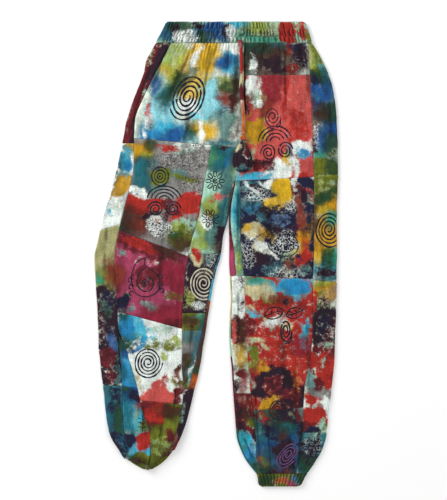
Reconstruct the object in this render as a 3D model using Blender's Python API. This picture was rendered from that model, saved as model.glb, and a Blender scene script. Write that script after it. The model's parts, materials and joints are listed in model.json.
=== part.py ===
"""Patchwork harem pants of block-printed, over-dyed cotton, laid flat with the front up.

Frame: metres. +Z is up from the surface the pants lie on, +Y runs from the hems to the waist, and
the wearer's right leg lies at -X. The origin is the bottom centre of the box around the pants.
The tables are in millimetres. "drop" is the distance down from the top edge of the waistband.
"""

import math

import bmesh
import bpy
import numpy as np
from mathutils import Vector

MM = 0.001

# Driving dimensions, in millimetres.
LENGTH = 1000.0
WALL = 1.2  # one layer of cotton, with its seam allowance
BAND_WALL = 2.0  # the casing: two layers round the elastic
SEAM_GAP = 0.3
FOLD_RADIUS = 2.6  # outer radius of the soft fold along each side of a leg
BAND_DEPTH = 46.0
CROTCH_BLEND = (341.0, 353.0)  # drops between which the centre seams turn into the inseams
SHORTEST_ROW = 4.0  # a section nearer than this to a cross seam makes no row of its own
BACK_SIDE_SHARE = 0.22  # back part of a side panel, as a share of the leg's width
BACK_INNER_SHARE = 0.32
CROWN = 1.6  # how far the front stands up between the folds
CROWN_RAMP = 45.0  # over which it comes up from a fold
TUCK_LIFT = 5.0  # how far the turned-under cuff lifts the right leg's end
TUCK_DROPS = (848.0, 884.0)
CORD_WIDTH = 8.0
CORD_STEP = 17.0
CURVE_STEPS = 20  # places on a cord's curve from one row of its table to the next
CORD_REST = 0.4  # what lies on the front clears it by this
FOLD_ANGLES = (45.0, 0.0, -45.0)
LOOP_STEPS = 4
SHARP_ANGLE = math.radians(50.0)
KNOT_RING_ANGLES = (-72.0, -36.0, 0.0, 36.0, 72.0)

# Sections down the laid pants: X of each leg's outer and inner fold, X of the front's seams between
# columns of patches, and how far inside its inner fold each inseam runs.
SECTION_NAMES = (
    "drop", "right_outer", "right_side", "right_wedge", "right_seam", "right_inseam", "right_inner",
    "left_inner", "left_inseam", "left_seam", "left_side", "left_outer",
)
SECTIONS = (
    (46, -130.0, -97.2, -97.2, -9.0, 0.0, 60.8, 60.8, 0.0, 61.0, 197.4, 206.5),
    (80, -148.6, -114.7, -114.7, -9.0, 0.0, 60.4, 60.4, 0.0, 61.0, 199.7, 227.0),
    (115, -158.0, -132.5, -132.5, -9.0, 0.0, 60.0, 60.0, 0.0, 61.0, 201.7, 242.5),
    (160, -175.0, -154.4, -154.4, -9.0, 0.0, 59.7, 59.7, 0.0, 61.0, 203.3, 254.5),
    (210, -191.8, -174.6, -174.6, -9.0, 0.0, 59.2, 59.2, 0.0, 61.0, 205.6, 259.7),
    (255, -201.0, -176.7, -176.7, -9.0, 0.0, 58.0, 58.0, 0.0, 61.0, 208.0, 261.0),
    (298, -210.0, -176.7, -176.7, -15.8, 0.0, 53.3, 53.3, 0.0, 57.0, 209.0, 262.0),
    (341, -221.0, -182.0, -182.0, -24.5, 0.0, 41.0, 41.0, 0.0, 52.2, 210.3, 262.0),
    (353, -223.5, -184.7, -184.7, -26.5, 3.2, 37.0, 37.3, 3.2, 52.2, 210.3, 261.5),
    (380, -231.0, -192.4, -192.4, -31.0, 3.2, 31.5, 31.8, 3.2, 52.2, 210.3, 260.3),
    (416, -242.3, -201.6, -201.6, -37.0, 3.2, 27.6, 28.2, 3.2, 52.2, 210.3, 259.7),
    (460, -252.0, -211.0, -211.0, -50.0, 3.5, 15.7, 27.5, 6.0, 52.2, 210.3, 259.7),
    (505, -261.8, -218.0, -218.0, -60.5, 4.0, 9.0, 27.5, 12.0, 55.0, 209.8, 259.7),
    (545, -260.6, -217.2, -217.2, -66.0, 4.5, -2.6, 29.7, 14.0, 59.5, 208.6, 259.7),
    (549, -260.5, -217.0, -217.0, -66.4, 4.5, -3.6, 29.9, 3.4, 60.0, 208.5, 259.6),
    (600, -257.8, -213.3, -213.3, -71.0, 5.0, -12.7, 31.5, 3.4, 61.5, 208.1, 258.6),
    (660, -254.0, -210.6, -210.6, -73.5, 7.0, -22.0, 28.0, 3.4, 64.5, 207.3, 256.7),
    (690, -253.7, -208.8, -198.5, -73.5, 9.5, -27.0, 28.2, 3.4, 66.0, 206.3, 255.4),
    (740, -249.4, -204.7, -183.0, -73.5, 12.0, -34.8, 32.5, 3.4, 69.0, 198.5, 253.3),
    (790, -243.0, -202.4, -168.5, -70.8, 13.0, -46.4, 36.0, 3.4, 73.0, 190.0, 248.5),
    (846, -237.4, -200.4, -156.0, -76.0, 8.0, -59.8, 40.0, 3.4, 81.0, 186.6, 241.7),
    (890, -227.5, -197.0, -142.0, -88.5, 4.5, -74.0, 43.2, 3.4, 84.5, 184.5, 237.0),
    (920, -210.0, -193.0, -140.0, -99.5, 3.4, -88.6, 52.0, 3.4, 85.5, 179.5, 228.5),
    (945, -195.0, -186.0, -143.5, -112.0, 3.4, -106.0, 65.1, 3.4, 88.0, 176.0, 214.6),
    (972, -180.0, -176.0, -147.0, -130.0, 3.4, -126.0, 85.6, 3.2, 98.0, 172.0, 196.4),
)

# The columns of patches. A flat column has its -X edge and its +X edge, a wrapped one its front
# seam and its back seam, and the cells are facets across the front and the back part.
COLUMN_NAMES = ("column", "kind", "half", "edge_a", "edge_b", "cells", "back_cells")
COLUMNS = (
    ("right_side", "round outer fold", "right", "side", "back_side", 2, 2),
    ("right_front_top", "front", "right", "side", "inseam", 5, 0),
    ("right_front", "front", "right", "wedge", "seam", 4, 0),
    ("right_wedge", "front", "right", "side", "wedge", 2, 0),
    ("right_inner", "front", "right", "seam", "inseam", 2, 0),
    ("left_front_top", "front", "left", "inseam", "side", 4, 0),
    ("left_front", "front", "left", "seam", "side", 4, 0),
    ("left_inner", "front", "left", "inseam", "seam", 1, 0),
    ("left_side", "round outer fold", "left", "side", "back_side", 2, 2),
    ("right_back", "back", "right", "back_side", "back_inner", 3, 0),
    ("right_back_top", "back", "right", "back_inner", "inner", 2, 0),
    ("right_back_inner", "round inner fold", "right", "inseam", "back_inner", 1, 2),
    ("left_back", "back", "left", "back_inner", "back_side", 3, 0),
    ("left_back_top", "back", "left", "inner", "back_inner", 2, 0),
    ("left_back_inner", "round inner fold", "left", "inseam", "back_inner", 1, 2),
)

# The patches. Each cross seam has a drop at its -X end and one at its +X end; on a wrapped patch
# these are its front seam and the fold, and the back part keeps the fold's.
PATCH_NAMES = ("patch", "column", "top_a", "top_b", "low_a", "low_b", "colour")
PATCHES = (
    ("right_side_1", "right_side", 46, 46, 262, 262, "maroon"),
    ("right_side_2", "right_side", 262, 262, 436, 448, "cyan"),
    ("right_side_3", "right_side", 436, 448, 784, 782, "navy"),
    ("right_side_4", "right_side", 784, 782, 934, 940, "blue"),
    ("right_front_1", "right_front_top", 46, 46, 251, 272, "cream"),
    ("right_front_2", "right_front", 251, 266, 449, 505, "grey"),
    ("right_front_3", "right_front", 449, 505, 624, 661, "magenta"),
    ("right_front_4", "right_front", 624, 661, 815, 824, "cyan"),
    ("right_front_5", "right_front", 815, 824, 966, 932, "olive"),
    ("right_wedge_1", "right_wedge", 664, 690, 784, 788, "blue"),
    ("right_wedge_2", "right_wedge", 784, 788, 942, 966, "teal"),
    ("right_inner_1", "right_inner", 266, 272, 499, 499, "pale"),
    ("right_inner_2", "right_inner", 499, 499, 627, 627, "black"),
    ("right_inner_3", "right_inner", 627, 627, 664, 664, "olive"),
    ("right_inner_4", "right_inner", 664, 664, 800, 792, "grey"),
    ("right_inner_5", "right_inner", 800, 792, 932, 918, "navy"),
    ("left_front_1", "left_front_top", 46, 46, 116, 115, "teal"),
    ("left_front_2", "left_front_top", 116, 115, 343, 334, "coral"),
    ("left_front_3", "left_front", 342.6, 334, 547, 554, "navy"),
    ("left_front_4", "left_front", 547, 554, 836, 830, "red"),
    ("left_front_5", "left_front", 836, 830, 972, 972, "blue"),
    ("left_inner_1", "left_inner", 343.3, 342.6, 547, 547, "pale"),
    ("left_inner_2", "left_inner", 547, 547, 800, 800, "cream"),
    ("left_inner_3", "left_inner", 800, 800, 972, 972, "maroon"),
    ("left_side_1", "left_side", 46, 46, 329, 329, "blue"),
    ("left_side_2", "left_side", 329, 329, 556, 560, "olive"),
    ("left_side_3", "left_side", 556, 560, 884, 884, "maroon"),
    ("left_side_4", "left_side", 884, 884, 972, 972, "teal"),
    ("right_back_1", "right_back", 46, 46, 330, 322, "coral"),
    ("right_back_2", "right_back", 330, 322, 640, 640, "teal"),
    ("right_back_3", "right_back", 640, 640, 950, 930, "mustard"),
    ("right_back_inner_1", "right_back_top", 46, 46, 356, 356, "olive"),
    ("right_back_inner_2", "right_back_inner", 356, 356, 600, 600, "cyan"),
    ("right_back_inner_3", "right_back_inner", 600, 600, 918, 922, "orange"),
    ("left_back_1", "left_back", 46, 46, 300, 310, "cyan"),
    ("left_back_2", "left_back", 300, 310, 610, 600, "mustard"),
    ("left_back_3", "left_back", 610, 600, 972, 972, "navy"),
    ("left_back_inner_1", "left_back_top", 46, 46, 356, 356, "red"),
    ("left_back_inner_2", "left_back_inner", 356, 356, 547, 547, "magenta"),
    ("left_back_inner_3", "left_back_inner", 547, 547, 972, 972, "cream"),
)

# The waistband: its outline, and the height of its front face over each sewn channel.
BAND_NAMES = ("drop", "right_end", "left_end", "top")
BAND = (
    (0.0, -105.0, 187.0, 6.4),
    (3.0, -109.0, 192.0, 7.4),
    (9.0, -111.5, 194.6, 8.4),
    (16.0, -115.0, 197.5, 7.0),
    (24.0, -119.0, 200.0, 8.4),
    (33.0, -124.0, 202.8, 7.0),
    (40.0, -128.0, 205.0, 8.4),
    (46.0, -130.0, 206.5, 7.4),
)
BAND_CELLS = 12
BAND_RADIUS = 3.5

# The largest folds of the front: a ridge from one end to the other.
FOLD_NAMES = ("x_top", "drop_top", "x_low", "drop_low", "reach", "height")
FOLDS = (
    (-62, 50, -84, 235, 26, 2.2),
    (12, 50, -14, 220, 26, 1.8),
    (110, 50, 96, 235, 28, 1.8),
    (168, 55, 178, 330, 28, 2.0),
    (38, 350, -92, 640, 36, 2.2),
    (50, 360, 92, 640, 32, 1.8),
    (-190, 330, -226, 640, 26, 1.8),
    (228, 300, 222, 700, 26, 1.6),
    (-170, 700, -180, 900, 28, 2.0),
    (-118, 690, -126, 900, 30, 1.6),
    (96, 740, 116, 950, 28, 2.2),
    (172, 720, 160, 950, 28, 2.0),
)

# The left leg's cuff: a flattened, gathered ring.
CUFF_NAMES = ("drop", "inner_end", "outer_end", "height")
CUFF = (
    (972.3, 85.8, 196.2, 6.4),
    (980.0, 89.5, 190.5, 7.4),
    (988.0, 90.5, 187.0, 7.2),
    (995.0, 91.5, 184.0, 6.6),
    (1000.0, 97.0, 174.0, 5.6),
)
CUFF_WALL = 1.6

# The right leg's end and cuff, turned under the leg: one flat solid with rounded edges.
TUCK_NAMES = ("drop", "outer_end", "inner_end", "height")
TUCK = (
    (888.0, -208.0, -104.0, 3.0),
    (899.0, -212.0, -94.0, 4.3),
    (918.0, -205.0, -94.0, 4.3),
    (938.0, -193.0, -106.0, 4.3),
    (952.0, -176.0, -122.0, 4.2),
    (962.0, -158.0, -137.0, 3.2),
)

# The drawstring's centreline, from the slit in the casing down to its knot.
CORD_NAMES = ("x", "drop")
CORD = (
    (51.2, 41.0),
    (52.2, 60.0),
    (53.6, 83.0),
    (55.4, 117.0),
    (53.6, 141.0),
    (55.6, 173.0),
    (59.4, 212.0),
    (57.8, 243.0),
)
KNOT_CENTRE = (57.6, 250.2)
KNOT_SIZE = (13.0, 12.0, 9.0)
TASSEL_NAMES = ("drop", "x", "half_width", "height")
TASSEL = (
    (256.9, 57.6, 4.0, 6.0),
    (262.0, 57.4, 8.0, 9.0),
    (274.0, 56.6, 13.5, 11.0),
    (288.0, 56.0, 18.0, 12.0),
    (302.0, 56.6, 20.5, 12.0),
    (312.0, 57.0, 19.0, 10.5),
    (320.0, 57.0, 12.0, 8.0),
    (324.0, 57.0, 5.0, 5.0),
)
ROUND_SIDES = 10

COLOURS = {
    "blue": (0.02, 0.16, 0.42),
    "navy": (0.03, 0.03, 0.10),
    "black": (0.03, 0.03, 0.04),
    "teal": (0.02, 0.20, 0.24),
    "cyan": (0.10, 0.48, 0.62),
    "pale": (0.50, 0.62, 0.55),
    "cream": (0.72, 0.74, 0.62),
    "grey": (0.26, 0.27, 0.25),
    "olive": (0.17, 0.20, 0.02),
    "mustard": (0.55, 0.34, 0.02),
    "orange": (0.60, 0.16, 0.02),
    "coral": (0.52, 0.07, 0.06),
    "red": (0.40, 0.02, 0.02),
    "maroon": (0.10, 0.02, 0.03),
    "magenta": (0.30, 0.04, 0.11),
}


def read(table, names, name, drop):
    """The value of a named column of a table at this drop, on straight lines between its rows."""
    drops = [row[names.index("drop")] for row in table]
    values = [row[names.index(name)] for row in table]
    return float(np.interp(drop, drops, values))


def section(half, name, drop):
    return read(SECTIONS, SECTION_NAMES, f"{half}_{name}", drop)


def smooth(value, low, high):
    """0 below low, 1 above high and an easy curve between them."""
    t = min(max((value - low) / (high - low), 0.0), 1.0)
    return t * t * (3.0 - 2.0 * t)


def outward(half):
    """-1 on the leg whose outer side is at -X, and 1 on the other."""
    return -1.0 if half == "right" else 1.0


def edge_x(half, edge, drop):
    """X of a named seam or fold of one leg."""
    outer = section(half, "outer", drop)
    inner = section(half, "inner", drop)
    if edge == "inseam":
        return inner + outward(half) * section(half, "inseam", drop)
    if edge == "back_side":
        return outer + (inner - outer) * BACK_SIDE_SHARE
    if edge == "back_inner":
        return inner + (outer - inner) * BACK_INNER_SHARE
    return section(half, edge, drop)


def lift(half, drop):
    """How far the turned-under cuff lifts a leg off the surface."""
    return TUCK_LIFT * smooth(drop, *TUCK_DROPS) if half == "right" else 0.0


def largest_folds(x, drop):
    """Height that the front's largest folds add here."""
    total = 0.0
    for row in FOLDS:
        fold = dict(zip(FOLD_NAMES, row))
        top = Vector((fold["x_top"], fold["drop_top"]))
        run = Vector((fold["x_low"], fold["drop_low"])) - top
        here = Vector((x, drop)) - top
        along = here.dot(run) / run.length_squared
        aside = (here - run * min(max(along, 0.0), 1.0)).length
        ends = smooth(along, -0.05, 0.15) * (1.0 - smooth(along, 0.85, 1.05))
        if aside < fold["reach"]:
            total += fold["height"] * ends * 0.5 * (1.0 + math.cos(math.pi * aside / fold["reach"]))
    return total


def rounding(distance):
    """How far a fold's round edge drops below its top, this far in from the edge."""
    across = FOLD_RADIUS - min(max(distance, 0.0), FOLD_RADIUS)
    return FOLD_RADIUS - math.sqrt(FOLD_RADIUS**2 - across**2)


def front_height(half, x, drop):
    """Height of the front layer's outer face."""
    from_outer = abs(x - section(half, "outer", drop))
    from_inner = abs(x - section(half, "inner", drop))
    closed = smooth(drop, *CROTCH_BLEND)
    ramp = smooth(from_outer, FOLD_RADIUS, CROWN_RAMP)
    ramp *= 1.0 - closed * (1.0 - smooth(from_inner, FOLD_RADIUS, CROWN_RAMP))
    top = 2.0 * FOLD_RADIUS + (CROWN + largest_folds(x, drop)) * ramp
    return top - rounding(from_outer) - closed * rounding(from_inner) + lift(half, drop)


def even(cells):
    return [i / cells for i in range(cells + 1)]


def stations(column):
    """Places across a column: the stretch each is on, how far along it, and its share of the slant."""
    if column["kind"] in ("front", "back"):
        return [(column["kind"], t, t) for t in even(column["cells"])]
    front = [("front", t, t) for t in even(column["cells"])]
    fold = [("fold", angle, 1.0) for angle in FOLD_ANGLES]
    return front + fold + [("back", t, 1.0) for t in even(column["back_cells"])]


def flat_point(column, stretch, place, drop):
    """X and height on a column that lies all on the front or all on the back."""
    a = edge_x(column["half"], column["edge_a"], drop) + 0.5 * SEAM_GAP
    b = edge_x(column["half"], column["edge_b"], drop) - 0.5 * SEAM_GAP
    x = a + (b - a) * place
    if stretch == "back":
        return x, lift(column["half"], drop)
    return x, front_height(column["half"], x, drop)


def wrapped_point(column, stretch, place, drop):
    """X and height on a column that goes round the outer or inner fold of its leg."""
    half = column["half"]
    at_outer = column["kind"] == "round outer fold"
    out = outward(half) if at_outer else -outward(half)
    apex = section(half, "outer" if at_outer else "inner", drop)
    turn = apex - out * (FOLD_RADIUS + 0.5 * SEAM_GAP * (not at_outer))
    if stretch == "fold":
        angle = math.radians(place)
        height = FOLD_RADIUS * (1.0 + math.sin(angle)) + lift(half, drop)
        return turn + out * FOLD_RADIUS * math.cos(angle), height
    if stretch == "front":
        seam = edge_x(half, column["edge_a"], drop) + out * 0.5 * SEAM_GAP
        x = seam + (turn - seam) * place
        return x, front_height(half, x, drop)
    seam = edge_x(half, column["edge_b"], drop) + out * 0.5 * SEAM_GAP
    return turn + (seam - turn) * place, lift(half, drop)


def row_drops(top, low):
    """Drops of a patch's rows at one edge: its seams, and each section that lies between them."""
    inside = [r[0] for r in SECTIONS if top + SHORTEST_ROW < r[0] < low - SHORTEST_ROW]
    return [top + 0.5 * SEAM_GAP, *inside, low - 0.5 * SEAM_GAP]


def matched(first, second):
    """Two lists of drops made as long as each other by halving the shorter one's widest steps."""
    lists = [list(first), list(second)]
    while len(lists[0]) != len(lists[1]):
        short = min(lists, key=len)
        widest = max(range(len(short) - 1), key=lambda i: short[i + 1] - short[i])
        short.insert(widest + 1, 0.5 * (short[widest] + short[widest + 1]))
    return lists


def point(x, drop, z):
    """A place on the pants, in metres in the part's frame."""
    return Vector((x * MM, (LENGTH / 2.0 - drop) * MM, z * MM))


def patch_grid(patch, column):
    """The outer face of a patch: rows down it of points across it."""
    a_drops, b_drops = matched(
        row_drops(patch["top_a"], patch["low_a"]),
        row_drops(patch["top_b"], patch["low_b"]),
    )
    at = flat_point if column["kind"] in ("front", "back") else wrapped_point
    grid = []
    for a_drop, b_drop in zip(a_drops, b_drops):
        row = []
        for stretch, place, slant in stations(column):
            drop = a_drop + (b_drop - a_drop) * slant
            x, z = at(column, stretch, place, drop)
            row.append(point(x, drop, z))
        grid.append(row)
    return grid


def grid_normals(grid, first_faces_up):
    """A unit normal at each point, from its neighbours. The first one faces up, or down."""
    rows = len(grid)
    count = len(grid[0])
    normals = []
    for j in range(rows):
        line = []
        for i in range(count):
            down = grid[min(j + 1, rows - 1)][i] - grid[max(j - 1, 0)][i]
            across = grid[j][min(i + 1, count - 1)] - grid[j][max(i - 1, 0)]
            normal = across.cross(down)
            normal.y = 0.0  # a wall ends square at its cross seams
            line.append(normal.normalized())
        normals.append(line)
    if (normals[0][min(2, count - 1)].z > 0) != first_faces_up:
        normals = [[-n for n in line] for line in normals]
    return normals


def wall_mesh(name, outer, inner):
    """A closed wall between two grids of points."""
    bm = bmesh.new()
    faces = [[[bm.verts.new(p) for p in row] for row in grid] for grid in (outer, inner)]
    for grid in faces:
        for upper, lower in zip(grid, grid[1:]):
            for i in range(len(upper) - 1):
                bm.faces.new((upper[i], upper[i + 1], lower[i + 1], lower[i]))
    rims = []
    for grid in faces:
        left = [row[0] for row in grid]
        right = [row[-1] for row in grid]
        rims.append(grid[0] + right[1:] + grid[-1][-2::-1] + left[-2:0:-1])
    count = len(rims[0])
    for i in range(count):
        j = (i + 1) % count
        bm.faces.new((rims[0][i], rims[0][j], rims[1][j], rims[1][i]))
    return finished(name, bm)


def finished(name, bm):
    """A mesh from bm, with its faces pointing out."""
    bmesh.ops.recalc_face_normals(bm, faces=bm.faces)
    mesh = bpy.data.meshes.new(name)
    bm.to_mesh(mesh)
    bm.free()
    mesh.shade_smooth()
    mesh.set_sharp_from_angle(angle=SHARP_ANGLE)
    return mesh


def cloth(name, colour, roughness=0.85):
    material = bpy.data.materials.new(name)
    material.use_nodes = True
    surface = material.node_tree.nodes["Principled BSDF"]
    surface.inputs["Base Color"].default_value = (*colour, 1.0)
    surface.inputs["Roughness"].default_value = roughness
    surface.inputs["Metallic"].default_value = 0.0
    return material


def place(name, data, material):
    piece = bpy.data.objects.new(name, data)
    data.materials.append(material)
    bpy.context.scene.collection.objects.link(piece)
    return piece


def build_patches(materials):
    columns = {row[0]: dict(zip(COLUMN_NAMES, row)) for row in COLUMNS}
    for row in PATCHES:
        patch = dict(zip(PATCH_NAMES, row))
        column = columns[patch["column"]]
        outer = patch_grid(patch, column)
        normals = grid_normals(outer, first_faces_up=column["kind"] != "back")
        inner = [
            [p - n * WALL * MM for p, n in zip(points, line)]
            for points, line in zip(outer, normals)
        ]
        mesh = wall_mesh(patch["patch"], outer, inner)
        place(patch["patch"], mesh, materials[patch["colour"]])


def band_section(band, face):
    """X and height across one face of the waistband, from one end fold's middle to the other's."""
    start = band["right_end"] + BAND_RADIUS
    end = band["left_end"] - BAND_RADIUS
    half_gap = math.degrees(0.5 * SEAM_GAP / BAND_RADIUS)
    angles = (half_gap, 45.0)
    top = band["top"] - BAND_RADIUS
    if face == "back":
        top = BAND_RADIUS
    turns = [
        (BAND_RADIUS * math.cos(math.radians(a)), top * math.sin(math.radians(a))) for a in angles
    ]
    left = [(start - across, BAND_RADIUS + rise) for across, rise in turns]
    right = [(end + across, BAND_RADIUS + rise) for across, rise in reversed(turns)]
    middle = [(start + (end - start) * t, BAND_RADIUS + top) for t in even(BAND_CELLS)]
    section_points = left + middle + right
    if face == "back":
        section_points = [(x, 2.0 * BAND_RADIUS - z) for x, z in section_points]
    return section_points


def build_waistband(materials):
    """The casing, gathered on its elastic: a front and a back length, sewn together at the sides."""
    for face in ("front", "back"):
        outer = []
        for row in BAND:
            band = dict(zip(BAND_NAMES, row))
            drop = band["drop"] - 0.5 * SEAM_GAP * (band["drop"] >= BAND_DEPTH)
            outer.append([point(x, drop, z) for x, z in band_section(band, face)])
        normals = grid_normals(outer, first_faces_up=face == "front")
        for line in normals:
            line[0] = Vector((-1.0, 0.0, 0.0))
            line[-1] = Vector((1.0, 0.0, 0.0))
        inner = [
            [p - n * BAND_WALL * MM for p, n in zip(points, line)]
            for points, line in zip(outer, normals)
        ]
        name = f"waistband_{face}"
        place(name, wall_mesh(name, outer, inner), materials["blue"])


def flat_loop(start, end, height, drop, inset):
    """A flattened loop with round ends, drawn in by inset, lying on the surface."""
    radius = 0.5 * height
    points = []
    for centre, first in ((end - radius, -90.0), (start + radius, 90.0)):
        for k in range(LOOP_STEPS + 1):
            angle = math.radians(first + 180.0 * k / LOOP_STEPS)
            reach = radius - inset
            points.append(
                point(centre + reach * math.cos(angle), drop, radius + reach * math.sin(angle))
            )
    return points


def tube_mesh(name, outer, inner):
    """A closed wall round a tube, between an outer and an inner list of loops."""
    bm = bmesh.new()
    loops = [[bm.verts.new(p) for p in loop] for loop in outer]
    loops += [[bm.verts.new(p) for p in loop] for loop in reversed(inner)]
    count = len(loops[0])
    for k, loop in enumerate(loops):
        after = loops[(k + 1) % len(loops)]
        for i in range(count):
            j = (i + 1) % count
            bm.faces.new((loop[i], loop[j], after[j], after[i]))
    return finished(name, bm)


def build_left_cuff(materials):
    rows = [dict(zip(CUFF_NAMES, row)) for row in CUFF]
    loops = [
        [flat_loop(r["inner_end"], r["outer_end"], r["height"], r["drop"], inset) for r in rows]
        for inset in (0.0, CUFF_WALL)
    ]
    place("left_cuff", tube_mesh("left_cuff", *loops), materials["orange"])


def loft(name, loops):
    """A closed solid through a list of loops, with its ends filled."""
    bm = bmesh.new()
    rings = [[bm.verts.new(p) for p in loop] for loop in loops]
    for ring, after in zip(rings, rings[1:]):
        for i in range(len(ring)):
            j = (i + 1) % len(ring)
            bm.faces.new((ring[i], ring[j], after[j], after[i]))
    bm.faces.new(rings[0])
    bm.faces.new(rings[-1])
    return finished(name, bm)


def build_right_cuff(materials):
    """The right leg's end, turned under it: the hidden layers share one solid."""
    loops = []
    for row in TUCK:
        tuck = dict(zip(TUCK_NAMES, row))
        loops.append(flat_loop(tuck["outer_end"], tuck["inner_end"], tuck["height"], tuck["drop"], 0.0))
    place("right_cuff_turned_under", loft("right_cuff_turned_under", loops), materials["olive"])


def resting_height(x, half_width, drop):
    """The highest point of the front under something that lies across the centre seam."""
    places = [x + half_width * t for t in (-1.0, -0.5, 0.0, 0.5, 1.0)]
    heights = []
    for here in places:
        half = "right" if here < section("right", "inner", drop) else "left"
        heights.append(front_height(half, here, drop))
    return max(heights)


def smooth_path(route, step):
    """Points an equal step apart along a smooth curve through the route's own points."""
    points = [route[0], *route, route[-1]]
    fine = []
    for p0, p1, p2, p3 in zip(points, points[1:], points[2:], points[3:]):
        for k in range(CURVE_STEPS):
            t = k / CURVE_STEPS
            fine.append(
                0.5 * (2 * p1 + (p2 - p0) * t + (2 * p0 - 5 * p1 + 4 * p2 - p3) * t**2
                       + (3 * p1 - p0 - 3 * p2 + p3) * t**3)
            )
    fine.append(route[-1])
    lengths = [0.0]
    for a, b in zip(fine, fine[1:]):
        lengths.append(lengths[-1] + (b - a).length)
    count = max(2, round(lengths[-1] / step))
    wanted = np.linspace(0.0, lengths[-1], count + 1)
    axes = [np.interp(wanted, lengths, [p[axis] for p in fine]) for axis in range(3)]
    return [Vector(p) for p in zip(*axes)]


def build_drawstring(materials):
    route = []
    for row in CORD:
        cord = dict(zip(CORD_NAMES, row))
        below = max(band["top"] for band in [dict(zip(BAND_NAMES, r)) for r in BAND])
        if cord["drop"] > BAND_DEPTH + CORD_WIDTH:
            below = resting_height(cord["x"], 0.5 * CORD_WIDTH, cord["drop"])
        route.append(point(cord["x"], cord["drop"], below + CORD_REST + 0.5 * CORD_WIDTH))
    curve = bpy.data.curves.new("drawstring", "CURVE")
    curve.dimensions = "3D"
    path = smooth_path(route, CORD_STEP * MM)
    spline = curve.splines.new("POLY")
    spline.points.add(len(path) - 1)
    for spot, place_on_path in zip(spline.points, path):
        spot.co = (*place_on_path, 1.0)
    curve.bevel_depth = 0.5 * CORD_WIDTH * MM
    curve.bevel_resolution = 3
    curve.use_fill_caps = True
    place("drawstring", curve, materials["red"])


def oval_loop(x, drop, base, half_width, height):
    """An upright oval across the pants, resting at this height."""
    points = []
    for k in range(ROUND_SIDES):
        angle = 2.0 * math.pi * k / ROUND_SIDES
        rise = 0.5 * height * (1.0 + math.sin(angle))
        points.append(point(x + half_width * math.cos(angle), drop, base + rise))
    return points


def build_knot(materials):
    x, drop = KNOT_CENTRE
    width, depth, height = KNOT_SIZE
    base = resting_height(x, 0.5 * width, drop) + CORD_REST
    loops = []
    for angle in KNOT_RING_ANGLES:
        share = math.cos(math.radians(angle))
        middle = base + 0.5 * height * (1.0 - share)
        here = drop + 0.5 * depth * math.sin(math.radians(angle))
        loops.append(oval_loop(x, here, middle, 0.5 * width * share, height * share))
    place("drawstring_knot", loft("drawstring_knot", loops), materials["orange"])


def build_tassel(materials):
    loops = []
    for row in TASSEL:
        tassel = dict(zip(TASSEL_NAMES, row))
        base = resting_height(tassel["x"], tassel["half_width"], tassel["drop"]) + CORD_REST
        loops.append(
            oval_loop(tassel["x"], tassel["drop"], base, tassel["half_width"], tassel["height"])
        )
    place("tassel", loft("tassel", loops), materials["maroon"])


def main():
    for old in list(bpy.data.objects):
        bpy.data.objects.remove(old)
    materials = {name: cloth(f"cotton_{name}", colour) for name, colour in COLOURS.items()}
    build_patches(materials)
    build_waistband(materials)
    build_left_cuff(materials)
    build_right_cuff(materials)
    build_drawstring(materials)
    build_knot(materials)
    build_tassel(materials)


main()
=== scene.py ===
"""Patchwork harem pants of block-printed, over-dyed cotton, laid flat with the front up.

Each patch is a thin shell on the form of its solid: the same seams and folds down the laid pants,
with the gathers, creases and seam grooves that a solid leaves out. The dyes are painted from short
tables of blots, one table a patch, and the prints are strips of ink laid on the finished cloth.
The tables are in millimetres. "drop" is the distance down from the top edge of the waistband.
"""

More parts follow.
